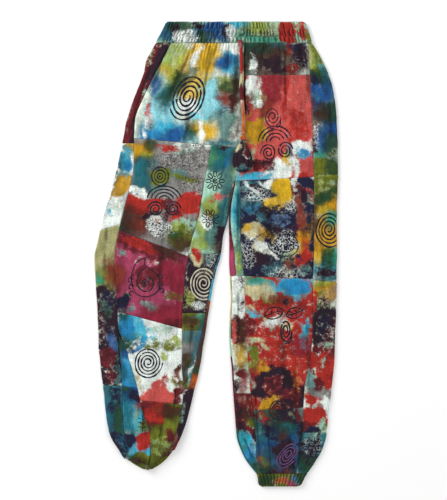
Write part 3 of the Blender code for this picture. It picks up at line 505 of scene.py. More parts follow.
# The dyes of each piece, in the order they were painted: the dye, X and drop of the blot's middle,
# its half width and half length, how deep it goes, and how many degrees its lower end leans towards
# +X if it does. A blot of small depth is broken up and mottled. A few narrow dark blots, noted at
# their pieces, are painted shadow of folds, not dye.
PAINT_NAMES = ("dye", "x", "drop", "half_width", "half_length", "depth", "lean")
PAINT = {
    "right_side_1": """
    wine -165 150 90 150 20, brick -188 190 6 60 2 -12, plum -128 92 13 48 8 -22,
    plum -172 240 14 36 6 -6, mint -153 158 4 18 2 -15, olive -146 80 5 34 2 -28,
    olive -118 52 14 5 2
    """,
    # Its narrow umber strip at X 58, down the centre seam, is painted shadow of the seam's fold.
    "right_front_1": """
    mint -118 110 8 40 1 -20, lime -86 78 22 32 0.5 -20, sky -120 195 26 46 2 -18,
    sky -15 160 24 44 3 20, sky -30 195 22 18 4, yellow -58 80 8 42 4 -28,
    yellow -22 78 25 40 8 -12, yellow -98 112 20 9 3 -30, white -42 76 5 24 3 -24,
    yellow -62 142 26 26 2, white -60 180 26 17 6, yellow -32 120 18 16 2 30,
    lime -92 130 12 18 3 -20, olive -84 122 9 14 2 -40, forest -80 136 10 36 4 -43,
    teal -106 158 9 18 3 -20, blue -131 140 7 16 3 -5, coral -144 190 5 22 1.5 -12,
    white -148 222 6 18 2 -8, cyan -110 236 44 20 3, sky -134 232 14 18 3 30,
    azure -148 246 14 10 3, blue -94 246 25 18 7 20, azure -128 252 8 14 2, forest -52 236 7 13 3,
    yellow -27 232 22 18 8, sky -56 250 14 10 2, cyan 30 86 20 22 4, blue 18 86 13 9 4 -10,
    white 40 62 14 12 3, cyan 40 98 9 12 3, lime 24 134 12 10 3, forest 24 140 10 7 2,
    wine 36 172 9 24 5 -10, umber 44 150 6 26 3, brick 20 163 14 15 9, soot 20 188 16 9 2,
    slate 24 203 22 10 2, forest 44 140 6 16 2, ash 42 232 14 18 1, slate 20 232 13 18 2,
    mint 34 216 10 12 2, white -34 257 50 5 4 86, teal 16 262 26 8 3, white 24 54 18 6 2,
    umber 58 120 3 50 2
    """,
    # Its narrow forest strip at X 64, down the centre seam, is painted shadow of the seam's fold.
    "left_front_1": """
    umber 132 88 70 34 12, plum 124 92 26 22 3, forest 92 56 42 13 6, jade 84 58 16 9 2,
    teal 84 68 16 14 3 -30, mint 74 84 9 34 5 10, white 80 92 6 18 2 10, olive 100 74 7 16 2 20,
    cyan 131 52 15 7 3, red 153 62 7 16 4, wine 146 96 9 18 3, red 166 100 22 14 5 10,
    plum 185 72 15 32 6 15, navy 172 54 16 7 3, wine 102 102 10 9 2, forest 64 78 3 34 2,
    crackle 180 90 16 16 -4
    """,
    # Its narrow plum strip at X 62, down the centre seam, is painted shadow of the seam's fold.
    "left_front_2": """
    coral 150 220 130 150 5, crimson 118 140 20 32 1.2, red 152 160 6 50 1, brick 108 186 14 16 1.5,
    crimson 108 122 22 8 2, red 176 230 22 40 1, white 80 146 14 36 7, mint 84 168 12 18 3,
    coral 90 132 5 16 3 -10, lime 98 156 5 18 2, ecru 78 190 14 8 2 10, brick 70 168 7 12 4,
    white 90 178 7 10 3, mustard 84 232 30 42 10, coral 84 204 15 14 3 -20, mustard 98 214 10 14 3,
    coral 105 276 22 24 8, ecru 74 284 7 16 3, mint 68 300 10 16 3, white 136 322 26 26 9,
    sky 125 316 8 8 2, plum 96 302 24 11 3, wine 88 308 12 16 5, wine 116 306 12 14 4 10,
    yellow 157 292 14 20 7, cyan 84 332 42 12 6, sky 108 332 14 9 3, white 186 270 22 13 8 10,
    sky 186 280 20 12 5, azure 195 280 10 8 3, blue 163 274 5 22 4 12, white 166 300 9 12 3,
    white 177 258 12 6 3, sky 156 266 4 16 3 10, coral 191 320 15 26 9, red 188 334 14 8 3,
    white 172 322 5 24 4, plum 62 170 2.6 50 2
    """,
    "left_front_3": """
    navy 130 440 120 130 4.5, teal 82 356 32 14 6, mint 112 350 14 10 2, plum 88 362 16 12 3,
    crackle 86 374 26 14 4 20, white 78 362 4 22 3 55, teal 72 392 26 22 3, azure 78 410 24 12 3,
    teal 98 418 16 14 3, white 124 346 22 10 5, white 168 356 8 26 5, mint 170 346 6 12 2,
    yellow 142 362 25 34 12 20, yellow 122 386 24 16 6, soot 113 362 6 12 4 25,
    crackle 158 394 15 18 4, wine 178 360 18 16 3, brick 178 384 11 26 6, plum 190 376 8 14 2,
    red 200 366 8 16 3 20, brick 180 425 13 36 8, wine 168 450 12 12 2, mint 201 384 6 14 3 20,
    umber 203 425 7 22 3, mustard 200 450 9 18 2, blue 132 430 22 16 2, plum 104 406 30 6 2 30,
    ecru 78 452 28 18 7, yellow 62 444 8 8 2, mustard 106 460 13 16 5, soot 108 462 14 16 4,
    plum 128 452 14 10 4, ecru 124 468 6 16 4, ash 144 462 6 14 3, crackle 150 476 22 22 6,
    ecru 92 478 18 14 5 30, crackle 72 462 12 8 2, white 106 488 6 26 3 62, ecru 110 496 14 5 2,
    crackle 130 492 18 10 3, yellow 186 474 17 26 9 -10, ecru 172 492 9 14 3 -20,
    orange 197 500 14 26 6 10, red 197 505 12 22 7 8, red 182 518 10 14 5 30, ecru 158 506 18 14 6,
    mint 150 512 14 10 3, brick 160 521 11 9 5, ecru 160 538 10 16 2 -20, mint 192 530 16 8 2 -20,
    slate 186 534 20 10 2 -20, teal 122 528 28 16 3, crackle 66 500 14 26 0,
    crackle 150 540 30 16 0, plum 142 540 10 8 4, plum 84 506 22 18 4, crackle 128 418 24 20 -5,
    plum 102 516 14 8 2
    """,
    "left_front_4": """
    red 130 700 120 170 3.4, ecru 92 570 40 26 9, jade 88 552 17 7 3, sky 92 556 14 6 2,
    ecru 66 562 5 18 3, ecru 116 588 12 24 5, cyan 162 568 42 24 9, azure 168 566 28 12 2,
    ecru 146 579 10 8 3, cyan 176 588 11 14 5, ecru 188 584 6 12 3 -20, lime 112 605 11 6 3,
    brick 140 600 22 10 1, ecru 76 618 12 12 4 30, ecru 94 634 6 26 4 42, white 122 648 26 7 3 20,
    cyan 81 629 8 9 5, slate 118 660 8 9 2, wine 72 656 12 20 2, ecru 152 652 14 13 3,
    cyan 192 664 10 26 7 10, cyan 184 684 9 16 4 10, mint 193 692 5 16 2, ecru 88 684 17 10 5,
    ecru 106 695 6 18 4 60, mint 70 700 8 16 3, olive 80 718 13 24 6 10, lime 76 732 8 10 2,
    mustard 92 742 12 14 4 30, yellow 104 748 12 16 6 -20, orange 94 764 9 12 3,
    crimson 180 700 20 18 0.5, mint 72 760 8 22 3, mint 80 778 8 16 4, crimson 84 764 6 14 2,
    plum 84 796 12 8 3, red 86 812 9 12 4, plum 128 786 42 43 20, wine 126 782 22 22 3,
    wine 150 812 26 24 3, yellow 168 776 6 20 4, orange 170 780 9 18 2, orange 175 770 8 26 2,
    plum 182 806 9 30 5, wine 168 806 7 24 3, plum 150 824 18 12 3, yellow 106 820 12 20 6,
    mustard 124 812 16 12 4, mustard 122 826 14 6 3 -20, forest 122 836 9 9 3
    """,
    "left_front_5": """
    slate 130 850 90 30 4, teal 130 900 90 50 5, blue 130 930 90 44 6, navy 150 880 50 40 3,
    wine 104 846 22 14 3, plum 150 846 26 22 9, mustard 104 842 12 10 4, olive 128 850 12 12 3,
    forest 120 840 12 16 3, mustard 165 848 12 8 3 -45, wine 178 850 7 20 4, mint 100 852 6 14 3,
    red 107 852 6 14 5, mint 118 864 12 8 4 -30, ecru 98 876 8 14 3, olive 148 860 24 6 3,
    forest 140 866 26 7 3, teal 150 874 22 16 6, azure 154 884 8 8 2, jade 132 876 14 8 2,
    ash 124 888 14 8 2, mint 92 890 6 16 3, umber 140 893 9 12 6, blue 165 900 14 22 6 20,
    blue 120 911 36 13 8, teal 98 898 14 6 2 20, blue 130 922 24 10 4, ash 108 928 14 6 2,
    slate 124 932 12 7 2, plum 154 934 27 32 8 35, mustard 100 946 20 18 8, orange 96 944 14 12 2,
    lime 112 942 5 16 2 -25, olive 110 936 12 8 2, forest 102 966 20 8 4, plum 118 968 10 7 2,
    brick 140 970 16 7 3, blue 180 950 9 24 3, teal 170 968 12 8 2
    """,
    "left_inner_1": """
    mint 45 440 40 140 20, cyan 46 404 9 34 5, teal 53 380 4 40 2, lime 48 516 6 14 2,
    slate 56 486 4 30 2
    """,
    "left_inner_2": """
    white 44 590 30 60 20, mint 50 600 12 20 0, lime 46 582 5 16 2 -20, soot 52 556 12 16 6,
    plum 50 552 7 10 2, crackle 52 556 12 18 2, plum 59 616 8 18 4, wine 48 662 26 28 9,
    coral 40 664 8 24 5, umber 56 660 5 26 2, red 64 650 8 20 2, ecru 48 692 8 8 2,
    yellow 54 714 6 18 4, ash 44 742 14 6 2, mint 68 748 8 12 2, wine 50 754 14 10 5,
    crimson 64 756 8 8 3, crimson 57 772 5 14 3, ash 46 776 8 12 2, plum 42 792 8 14 3
    """,
    "left_inner_3": """
    wine 60 850 50 60 20, brick 58 812 12 10 2, red 76 828 12 22 5, plum 46 840 6 30 2,
    umber 64 846 18 8 2, olive 74 860 16 11 6, plum 52 878 10 14 4, jade 52 902 10 14 4,
    cyan 62 900 18 16 7, plum 82 886 6 12 3, sky 66 916 16 8 3, azure 70 936 14 18 7 20,
    cyan 54 922 8 14 3 20, teal 74 956 16 12 4 30, forest 86 964 10 8 4
    """,
    "left_side_1": """
    lime 215 90 20 30 9, ecru 207 76 8 22 6 20, olive 214 66 4 26 2 32, mustard 230 96 6 14 4 10,
    olive 208 106 14 7 3, forest 216 120 22 12 6, blue 232 160 34 36 9, cyan 236 118 7 20 4 15,
    slate 250 160 8 30 2 10, azure 232 142 14 16 1, navy 214 124 8 12 2, plum 202 140 3 30 3,
    cyan 212 170 8 8 3, slate 240 198 26 28 6, forest 244 200 18 20 2, umber 228 198 10 14 2,
    ash 226 182 8 8 2, brick 208 208 5 24 3 4, blue 244 240 22 28 8, slate 226 226 10 14 2,
    ash 215 246 8 20 3, crackle 217 246 9 22 4, azure 232 262 10 20 2 -20, navy 213 266 8 16 4 10,
    forest 251 266 12 18 5, olive 254 276 8 12 2, jade 222 290 14 12 4, olive 232 316 40 22 7,
    forest 252 310 14 20 2, lime 238 318 3 30 2 4
    """,
    "left_side_2": """
    olive 235 350 60 40 20, lime 228 344 14 24 0.5, mint 250 344 10 10 2, lime 240 336 3 24 2 -10,
    yellow 236 398 38 24 8, mustard 254 384 10 22 2, lime 214 370 14 8 3 -30,
    forest 230 378 12 28 8 -52, mint 206 384 6 18 4 25, forest 252 362 8 8 2, jade 250 422 14 14 3,
    mustard 236 458 34 30 8, yellow 226 446 12 22 3, umber 207 424 5 26 3, yellow 222 492 22 22 7,
    jade 246 510 20 20 7, forest 238 512 9 14 2, olive 238 496 10 10 2, yellow 219 518 6 12 3,
    cyan 240 530 28 9 5, sky 224 530 12 8 2, plum 234 540 26 11 4 -6, soot 240 528 26 10 1,
    teal 244 552 26 6 4
    """,
    "left_side_3": """
    mustard 238 574 34 18 8, olive 222 586 12 8 2, lime 232 560 20 4 2, ash 250 584 12 12 4,
    ecru 232 606 16 26 6, ash 244 596 10 10 2, soot 232 612 14 22 3, jade 230 622 14 6 2 -20,
    red 212 605 8 24 5, plum 236 656 40 46 14, wine 244 664 18 26 2, navy 230 650 16 26 3 -20,
    wine 240 732 40 46 12, red 240 748 26 40 5, ash 234 696 20 6 3 -10, mint 240 704 6 14 2,
    wine 224 708 10 10 4, wine 250 712 7 10 3, mint 232 732 5 22 4 -14, red 206 730 14 24 5,
    ash 226 796 40 14 5, slate 200 772 10 14 3 20, wine 220 778 12 12 5, red 242 770 12 16 5,
    red 204 812 20 9 5, ash 214 823 14 7 3, white 240 822 11 22 5, red 210 848 28 26 9,
    wine 196 870 16 18 3, mint 222 864 9 18 6 -10, olive 233 869 8 9 4, navy 208 880 18 7 3
    """,
    "left_side_4": """
    teal 212 920 50 60 20, navy 198 922 18 30 3, mint 222 886 22 9 6 15, plum 220 895 22 4 4 70,
    blue 192 930 8 30 2, crackle 205 910 22 24 -1, soot 210 925 26 34 3, forest 204 954 26 14 5 -30
    """,
    "right_side_2": """
    white -215 360 60 110 20, mustard -182 274 14 15 7, mint -206 280 8 16 2, cyan -198 300 22 26 9,
    azure -188 310 10 10 2, sky -184 290 12 8 2, mustard -202 350 19 30 10, yellow -214 372 10 14 4,
    yellow -194 344 6 14 2, umber -218 326 4 22 3 -14, mint -222 400 30 24 1,
    sky -233 388 5 20 3 -10, cyan -222 412 5 13 3 18, white -212 390 12 16 2
    """,
    "right_side_3": """
    khaki -235 500 50 70 20, ecru -226 478 12 20 0.5, lime -240 560 20 20 1, jade -254 555 9 9 3,
    brick -222 542 15 25 7, plum -238 680 60 112 20, khaki -230 566 14 14 4 45,
    navy -232 596 22 16 3, jade -240 610 12 8 4 -20, slate -226 622 10 16 2,
    forest -230 632 9 10 2 30, blue -222 690 14 24 5, navy -228 668 12 10 2,
    wine -246 650 10 44 1.5, wine -234 724 20 24 4, teal -212 755 7 32 4, wine -232 766 14 18 3
    """,
    "right_side_4": """
    teal -216 850 50 90 4, navy -218 812 14 26 5, slate -230 796 12 12 2, blue -206 800 8 20 2,
    blue -230 844 8 30 2, slate -214 850 16 34 3 15, forest -208 860 12 24 2 10,
    slate -226 872 14 18 3, navy -206 896 16 18 6 20, blue -200 902 10 20 3,
    plum -214 912 8 14 2 45, navy -200 924 10 12 2 45
    """,
    "right_wedge_1": """
    azure -190 740 50 80 20, forest -200 692 16 12 6, sky -196 720 8 22 2 30,
    blue -188 708 14 14 5 30, cyan -186 762 20 18 4, mint -180 752 7 30 3 15, teal -205 750 4 40 3,
    sky -188 774 14 6 2
    """,
    "right_wedge_2": """
    cyan -178 860 60 100 20, blue -184 798 36 22 9, navy -176 804 14 12 2, forest -196 784 10 9 4,
    plum -169 808 11 10 5, crimson -162 818 12 6 4 60, teal -197 840 7 34 3, teal -190 860 6 24 2,
    ecru -173 840 12 28 6, sky -184 836 6 22 2, lime -166 868 10 8 3, ecru -182 878 14 9 4,
    olive -150 868 12 14 4, red -157 900 22 22 9, navy -194 900 16 20 6, blue -196 904 8 12 2,
    sky -182 918 14 7 3, ecru -190 930 13 11 4, forest -181 938 11 10 6, olive -156 940 26 17 8,
    umber -164 946 14 5 2, olive -152 958 18 8 5
    """,
    "right_front_2": """
    ash -120 360 130 140 20, white -62 268 28 12 2, mint -72 276 30 12 1, soot -36 278 26 14 1,
    soot -110 304 36 14 1, soot -50 352 26 24 1, soot -48 300 30 20 1, crackle -60 300 52 18 -2,
    crackle -40 350 24 26 -3, mustard -164 280 26 20 8, lime -150 292 12 8 2, forest -142 268 9 9 2,
    red -100 274 8 24 6 80, slate -150 312 24 14 2, teal -164 334 20 32 6, slate -134 340 22 22 2,
    olive -122 334 20 20 4, slate -84 328 16 10 2, olive -70 336 32 7 4 -8,
    white -172 366 22 9 2 -20, red -166 392 36 19 9, red -128 396 24 18 4, red -54 390 34 20 9 20,
    red -82 418 16 13 7 30, red -36 404 9 16 3, wine -100 398 14 14 2, wine -96 412 20 9 1.5,
    mint -60 436 34 14 5, soot -58 424 14 7 3, soot -50 452 18 14 1, umber -186 430 14 26 4,
    brick -166 432 20 26 7, forest -198 438 12 14 5, teal -206 440 6 14 3, red -150 412 14 9 2,
    plum -140 418 22 6 3, white -126 442 26 20 6, soot -126 446 28 20 4, orange -132 432 6 12 4,
    crackle -112 452 18 14 2, lime -84 452 20 14 2, olive -76 446 9 9 4, olive -78 470 26 18 6,
    forest -88 460 9 8 2, umber -70 482 24 12 3
    """,
    "right_front_3": """
    magenta -150 560 130 130 8, wine -158 484 20 76 10 70, red -162 482 14 50 4 70,
    umber -92 488 36 15 5, wine -80 496 24 9 2, slate -206 497 9 8 3, brick -212 542 18 26 7,
    wine -150 548 26 26 2, forest -150 562 16 14 1, crimson -100 540 34 24 3,
    crimson -78 570 12 40 3, coral -128 512 40 8 0, olive -88 588 20 9 5 -10, slate -140 609 20 9 3,
    olive -196 592 10 8 3 45, crimson -110 634 56 24 4 10, wine -84 650 26 14 3,
    magenta -120 600 30 9 0, navy -206 606 26 18 8 35, teal -190 622 18 10 3 10,
    forest -194 628 10 8 4
    """,
    "right_front_4": """
    white -140 730 140 120 20, cyan -184 655 36 34 9, azure -194 664 16 22 4, sky -166 664 14 22 3,
    sky -166 640 12 8 2, forest -204 632 10 7 2, lime -186 684 22 7 4 -20, forest -196 694 16 11 6,
    lime -172 688 9 8 3 -30, cyan -158 688 12 16 5, azure -168 700 16 10 4, blue -184 708 12 12 4,
    mint -120 660 40 12 2 15, sky -138 680 12 10 2, olive -130 696 22 12 4, olive -90 684 16 12 5,
    lime -92 692 22 20 3, olive -96 702 18 10 4, lime -112 718 8 14 4, ecru -172 768 10 30 2 15,
    coral -120 806 56 22 12, coral -124 782 22 16 6, red -110 766 12 10 4 -30,
    white -98 786 11 14 6 -20, brick -80 756 8 26 5, umber -76 742 10 9 2, lime -90 776 7 14 4,
    olive -78 780 12 14 5, wine -78 802 14 14 5, olive -84 822 14 6 2
    """,
    "right_front_5": """
    olive -110 890 90 90 20, red -138 838 30 32 12, wine -148 820 24 8 3 12, umber -92 836 18 12 3,
    brick -110 832 20 9 3, umber -142 872 10 8 2, lime -112 904 18 14 2 -10, mint -130 902 12 8 4,
    lime -128 922 12 8 3 -30, umber -112 932 5 30 3 -38, wine -100 888 9 16 4
    """,
    "right_inner_1": """
    mint -10 390 80 130 20, jade -4 284 16 24 7, lime -10 292 9 14 2, teal 22 276 22 12 4,
    azure 20 300 12 22 5, sky 33 284 8 24 3 -10, plum 16 272 14 6 3, teal 2 306 12 14 2,
    lime 34 304 6 16 2, slate 24 344 10 36 2 -12, slate 20 400 8 40 3 -10, teal 12 400 8 30 1 -10,
    coral -2 378 5 14 4 -65, lime -16 392 10 12 2, lime -4 406 16 14 3, mustard -8 416 11 14 4,
    slate 4 440 12 20 1, white -24 432 14 20 1 20, lime -36 446 10 24 1 18, slate -6 462 18 14 2,
    plum 10 458 8 22 4 -25, umber 8 490 12 18 4, lime -34 474 16 14 2, ecru -44 484 12 16 4 10,
    red -42 498 9 9 4
    """,
    "right_inner_2": """
    plum -30 560 80 90 20, ecru -42 508 15 26 7, red -42 504 8 15 6, slate -14 506 14 14 2 -20,
    crackle -10 510 14 18 0, umber -16 544 18 14 3, ecru -58 592 14 22 6, lime -57 592 12 14 2,
    white -42 604 14 9 4, soot -50 596 24 20 2, ecru -64 566 7 12 2, crackle -20 600 22 22 -3,
    plum -58 620 18 4 3, navy -64 545 8 26 2
    """,
    "right_inner_3": """
    olive -46 645 60 40 20, orange -50 652 16 7 3, umber -58 642 12 12 2, jade -36 634 20 8 4 -10,
    teal -26 648 6 20 3 -15, lime -66 660 14 6 2
    """,
    "right_inner_4": """
    ash -55 730 60 90 20, slate -56 674 20 9 2, azure -38 690 5 34 4 -14, slate -48 720 7 30 2 -14,
    mint -60 758 9 18 2, umber -70 728 10 10 2, olive -66 736 8 8 3, slate -52 756 9 22 2,
    white -50 750 2 40 2 -16, umber -70 756 7 14 2, olive -66 782 12 16 4, slate -56 780 7 16 2,
    wine -66 798 10 7 3, crackle -58 700 22 60 -7
    """,
    "right_inner_5": """
    plum -70 850 60 100 20, slate -72 836 9 20 3 -25, wine -74 800 8 12 3, slate -70 856 9 10 2,
    brick -94 890 10 14 4, wine -84 912 14 20 4 -30, brick -92 922 12 10 3 -35
    """,
    # Its umber strip at X 26 along the inner fold is painted shade of the leg's inner side turning away.
    "right_back_inner_2": """
    umber 26 420 7 70 4 -8, plum 10 480 9 40 4 -20, plum 0 540 8 30 4 -15
    """,
    "right_back_inner_3": """
    umber -24 664 9 46 4 -8, teal -36 690 4 30 2 -10,
    olive -34 718 7 10 3, forest -38 750 8 9 4, plum -56 850 30 66 9 -15
    """,
    # Its plum strip at X 32 along the inner fold is painted shadow in the gap between the legs.
    "left_back_inner_2": """
    plum 32 400 9 58 6
    """,
    "left_back_inner_3": """
    mint 34 700 30 40 4, wine 60 800 90 80 12, teal 60 930 60 50 9
    """,
    "waistband_front": """
    mint 40 20 180 40 0, teal -108 16 22 30 9, blue -104 26 16 13 4, forest -76 8 24 11 5,
    plum -84 12 8 8 2, white -66 32 24 14 5, soot -68 30 20 14 0, plum -38 8 9 8 3,
    blue -6 16 28 19 7, azure -46 28 6 12 3 -20, forest -30 34 14 11 4, blue 4 36 16 9 4,
    plum 16 24 7 12 3, cyan 46 8 13 9 4, white 32 26 12 14 3, ecru 100 14 44 22 5,
    lime 84 9 18 10 2, soot 92 24 36 7 1, jade 104 38 36 7 4, red 152 22 17 34 9, ecru 172 9 8 10 4,
    red 186 18 10 26 6, olive 200 34 8 20 4 8
    """,
    "left_cuff": """
    olive 130 985 90 30 20, forest 108 986 12 16 4, orange 141 983 20 13 7, ecru 122 992 9 9 4,
    magenta 160 992 14 9 4, azure 172 982 10 10 4, forest 187 982 9 20 6
    """,
    "drawstring": """
    crimson 52 46 12 9 6, red 52 84 12 34 12, ecru 56 127 12 11 9, wine 54 156 12 18 12,
    orange 58 216 12 34 12
    """,
    "drawstring_knot": """
    orange 57 250 20 20 12
    """,
    "tassel": """
    plum 57 292 40 50 20, ecru 43 270 9 14 6 -30, wine 64 272 7 16 5, wine 62 288 9 10 4,
    teal 57 316 15 6 5
    """,
    "right_cuff_turned_under": """
    olive -150 925 90 60 20, forest -170 920 20 20 3, wine -110 915 14 18 4
    """,
    "waistband_back": """
    blue 30 20 200 50 20, cyan -70 24 26 20 4, ecru -10 20 24 18 5, red 60 26 22 22 5,
    forest 120 18 26 20 5, mint 170 24 18 22 4
    """,
}

# The hidden side: each back patch's own dye, and the dyes splashed over it.
BACK_PAINT = {
    "right_back_1": "coral red ecru plum mustard white",
    "right_back_2": "teal navy mint sky olive white",
    "right_back_3": "mustard olive brick ecru forest wine",
    "right_back_inner_1": "olive lime yellow umber mint white",
    "right_back_inner_2": "cyan azure blue sky mint lime",
    "right_back_inner_3": "orange brick yellow wine ecru umber",
    "left_back_1": "cyan azure ecru blue jade white",
    "left_back_2": "mustard red yellow lime umber ecru",
    "left_back_3": "navy teal crimson plum azure ash",
    "left_back_inner_1": "red wine coral orange ecru plum",
    "left_back_inner_2": "magenta crimson slate wine ecru plum",
    "left_back_inner_3": "ecru wine mint lime teal red",
}
SPLASHES = 12

# The block prints: the motif, the patch area's middle, half width and half height, lean, the
# stroke's width, and the ink. Each is drawn afresh here from simple curves.
MOTIF_NAMES = ("motif", "x", "drop", "half_width", "half_height", "lean", "stroke", "ink")
MOTIFS = (
    ("tailed spiral", -61, 163, 36, 53, -24, 5.0, "ink"),
    ("target", -121, 333, 18, 20, 0, 3.4, "ink"),
    ("scroll", -112, 388, 37, 34, 0, 3.6, "ink"),
    ("paisley", -153, 550, 33, 42, 6, 2.9, "ink"),
    ("flower", -3, 343, 22, 23, 0, 2.9, "ink"),
    ("flower", -13, 424, 20, 22, 20, 2.9, "ink"),
    ("wide spiral", -27, 563, 31, 37, 0, 3.2, "pale_ink"),
    ("wide spiral", -147, 733, 31, 34, 0, 4.0, "ink"),
    ("sprig", -158, 864, 12, 18, 0, 2.2, "ink"),
    ("curl", 121, 205, 18, 23, 0, 2.8, "ink"),
    ("scroll", 128, 263, 36, 38, 8, 3.6, "ink"),
    ("paisley", 142, 480, 26, 34, 80, 2.6, "ink"),
    ("leaf", 124, 627, 23, 12, 14, 3.2, "ink"),
    ("leaf", 168, 627, 19, 11, -166, 3.2, "ink"),
    ("target", 151, 603, 6, 6, 0, 2.4, "ink"),
    ("curl", 150, 664, 13, 26, 0, 4.2, "ink"),
    ("wide spiral", 243, 447, 31, 40, 0, 3.8, "ink"),
    ("spiral", 132, 834, 19, 23, 0, 2.6, "ink"),
    ("spiral", 154, 932, 18, 34, -40, 2.6, "violet_ink"),
    ("sprig", 232, 612, 13, 26, 0, 2.2, "ink"),
    ("sprig", 212, 915, 18, 24, 0, 2.2, "ink"),
)


def rows_of(names, table):
    return [dict(zip(names, row)) for row in table]


@lru_cache(maxsize=None)
def knots(table, names, name):
    """A column of a table: its drops, its values, and slopes that never overshoot between them."""
    drops = np.array([row[names.index("drop")] for row in table], float)
    values = np.array([row[names.index(name)] for row in table], float)
    secants = np.diff(values) / np.diff(drops)
    before, after = secants[:-1], secants[1:]
    same_way = before * after > 0.0
    total = np.where(same_way, before + after, 1.0)
    middle = np.where(same_way, 2.0 * before * after / total, 0.0)
    return drops, values, np.concatenate([secants[:1], middle, secants[-1:]])


def along(table, names, name, drop):
    """A table's column on a smooth curve through its rows."""
    drops, values, slopes = knots(table, names, name)
    drop = np.clip(drop, drops[0], drops[-1])
    i = np.clip(np.searchsorted(drops, drop, side="right") - 1, 0, len(drops) - 2)
    step = drops[i + 1] - drops[i]
    t = (drop - drops[i]) / step
    start = values[i] * (1.0 + 2.0 * t) * (1.0 - t) ** 2 + slopes[i] * step * t * (1.0 - t) ** 2
    end = values[i + 1] * t * t * (3.0 - 2.0 * t) + slopes[i + 1] * step * t * t * (t - 1.0)
    return start + end


def smooth(value, low, high):
    """0 below low, 1 above high and an easy curve between them."""
    t = np.clip((value - low) / (high - low), 0.0, 1.0)
    return t * t * (3.0 - 2.0 * t)


def hashed(i, j, seed):
    """A steady random number from 0 to 1 for each pair of whole numbers."""
    mask = 0xFFFFFFFF
    mixed = (i * 374761393 + j * 668265263 + seed * 1274126177) & mask
    mixed = ((mixed ^ (mixed >> 13)) * 1274126177) & mask
    return (mixed ^ (mixed >> 16)) / mask


def noise(x, y, seed=0):
    """Smooth noise from -1 to 1 with one bump to each whole step, another pattern for each seed.

    Its callers divide a place in millimetres by the width that they want a bump to have.
    """
    x, y = np.broadcast_arrays(np.asarray(x, float), np.asarray(y, float))
    i, j = np.floor(x).astype(np.int64), np.floor(y).astype(np.int64)
    u, v = smooth(x - i, 0.0, 1.0), smooth(y - j, 0.0, 1.0)
    top = hashed(i, j, seed) * (1.0 - u) + hashed(i + 1, j, seed) * u
    low = hashed(i, j + 1, seed) * (1.0 - u) + hashed(i + 1, j + 1, seed) * u
    return 2.0 * (top * (1.0 - v) + low * v) - 1.0


def outward(half):
    """-1 on the leg whose outer side is at -X, and 1 on the other."""
    return -1.0 if half == "right" else 1.0


def section(half, name, drop):
    """X of a fold or seam, with the small unevenness of hand-cut and washed cloth."""
    x = along(SECTIONS, SECTION_NAMES, f"{half}_{name}", drop)
    joined = smooth(drop, 46, 70) * (1.0 - smooth(drop, 935, 965))
    if name == "outer":
        uneven = 0.9 * noise(drop / 22, 0.5, 3 + len(half)) + 0.5 * noise(drop / 9, 0.5, 7)
        return x + uneven * joined
    if name == "inner":
        leg = 0.9 * noise(drop / 22, 1.5, 3 + len(half)) * smooth(drop, 360, 400)
        centre = 0.6 * noise(drop / 14, 2.5, 11) * (1.0 - smooth(drop, 290, 335))
        return x + (leg + centre) * joined
    if name == "inseam":
        return x
    return x + 0.6 * noise(drop / 13, 3.5, 17 if name in ("side", "wedge") else 19) * joined


def edge_x(half, edge, drop):
    """X of a named seam or fold of one leg."""
    outer, inner = section(half, "outer", drop), section(half, "inner", drop)
    if edge == "inseam":
        return inner + outward(half) * section(half, "inseam", drop)
    if edge == "back_side":
        return outer + (inner - outer) * BACK_SIDE_SHARE
    if edge == "back_inner":
        return inner + (outer - inner) * BACK_INNER_SHARE
    return section(half, edge, drop)


def lift(half, drop):
    """How far the turned-under cuff lifts a leg off the surface."""
    return TUCK_LIFT * smooth(drop, *TUCK_DROPS) * (half == "right")


@lru_cache(maxsize=None)
def creases_in(text):
    """The folds or creases that a text lists."""
    return rows_of(CREASE_NAMES, numbers_in(text))


def crease_height(text, x, drop):
    """Height that a text's folds and creases add at each point."""
    total = np.zeros(np.broadcast(x, drop).shape)
    creases = creases_in(text)
    for crease in creases:
        run_x, run_drop = crease["x_low"] - crease["x_top"], crease["drop_low"] - crease["drop_top"]
        run = run_x**2 + run_drop**2
        dx, dd = x - crease["x_top"], drop - crease["drop_top"]
        share = np.clip((dx * run_x + dd * run_drop) / run, 0.0, 1.0)
        dx = dx + 4.0 * crease["bow"] * share * (1.0 - share)
        reach = crease["reach"] * (0.8 + 0.3 * noise(share * 5.0, 0.5, len(creases)))
        aside = np.hypot(dx - run_x * share, dd - run_drop * share) / reach
        ends = smooth(share, -0.02, 0.2) * (1.0 - smooth(share, 0.8, 1.02))
        bump = 0.5 * (1.0 + np.cos(np.pi * np.minimum(aside, 1.0)))
        total += crease["height"] * bump * ends * (0.85 + 0.3 * noise(share * 7.0, 1.5, 23))
    return total


def crinkle(half, x, drop):
    """Fine washed-in wrinkles down the cloth, and the gathers beside the elastic."""
    outer, inner = section(half, "outer", drop), section(half, "inner", drop)
    lane = (x - outer) / (inner - outer) * LANE_WIDTH
    seed = 31 if half == "right" else 37
    fine = 0.24 * noise(lane / 7, drop / 24, seed) + 0.45 * noise(lane / 16, drop / 55, seed + 1)
    ridged = 0.4 * (0.5 - np.abs(noise(lane / 21, drop / 75, seed + 2)))
    patted = 0.25 * noise(x / 11, drop / 12, seed + 3)
    gather = np.cos(2.0 * np.pi * lane / 8.5 + 2.4 * noise(lane / 26, drop / 40, seed + 4))
    low = LEG_END if half == "left" else RIGHT_GATHER
    ends = np.exp(-np.maximum(drop - BAND_DEPTH, 0.0) / 30.0)
    ends = ends + 0.9 * np.exp(-np.maximum(low - drop, 0.0) / 34.0)
    return fine + ridged + patted + gather * ends * (0.8 + 0.4 * noise(lane / 18, 0.5, seed + 5))


def rounding(distance):
    """How far a fold's round edge drops below its top, this far in from the edge."""
    across = FOLD_RADIUS - np.clip(distance, 0.0, FOLD_RADIUS)
    return FOLD_RADIUS - np.sqrt(FOLD_RADIUS**2 - across**2)


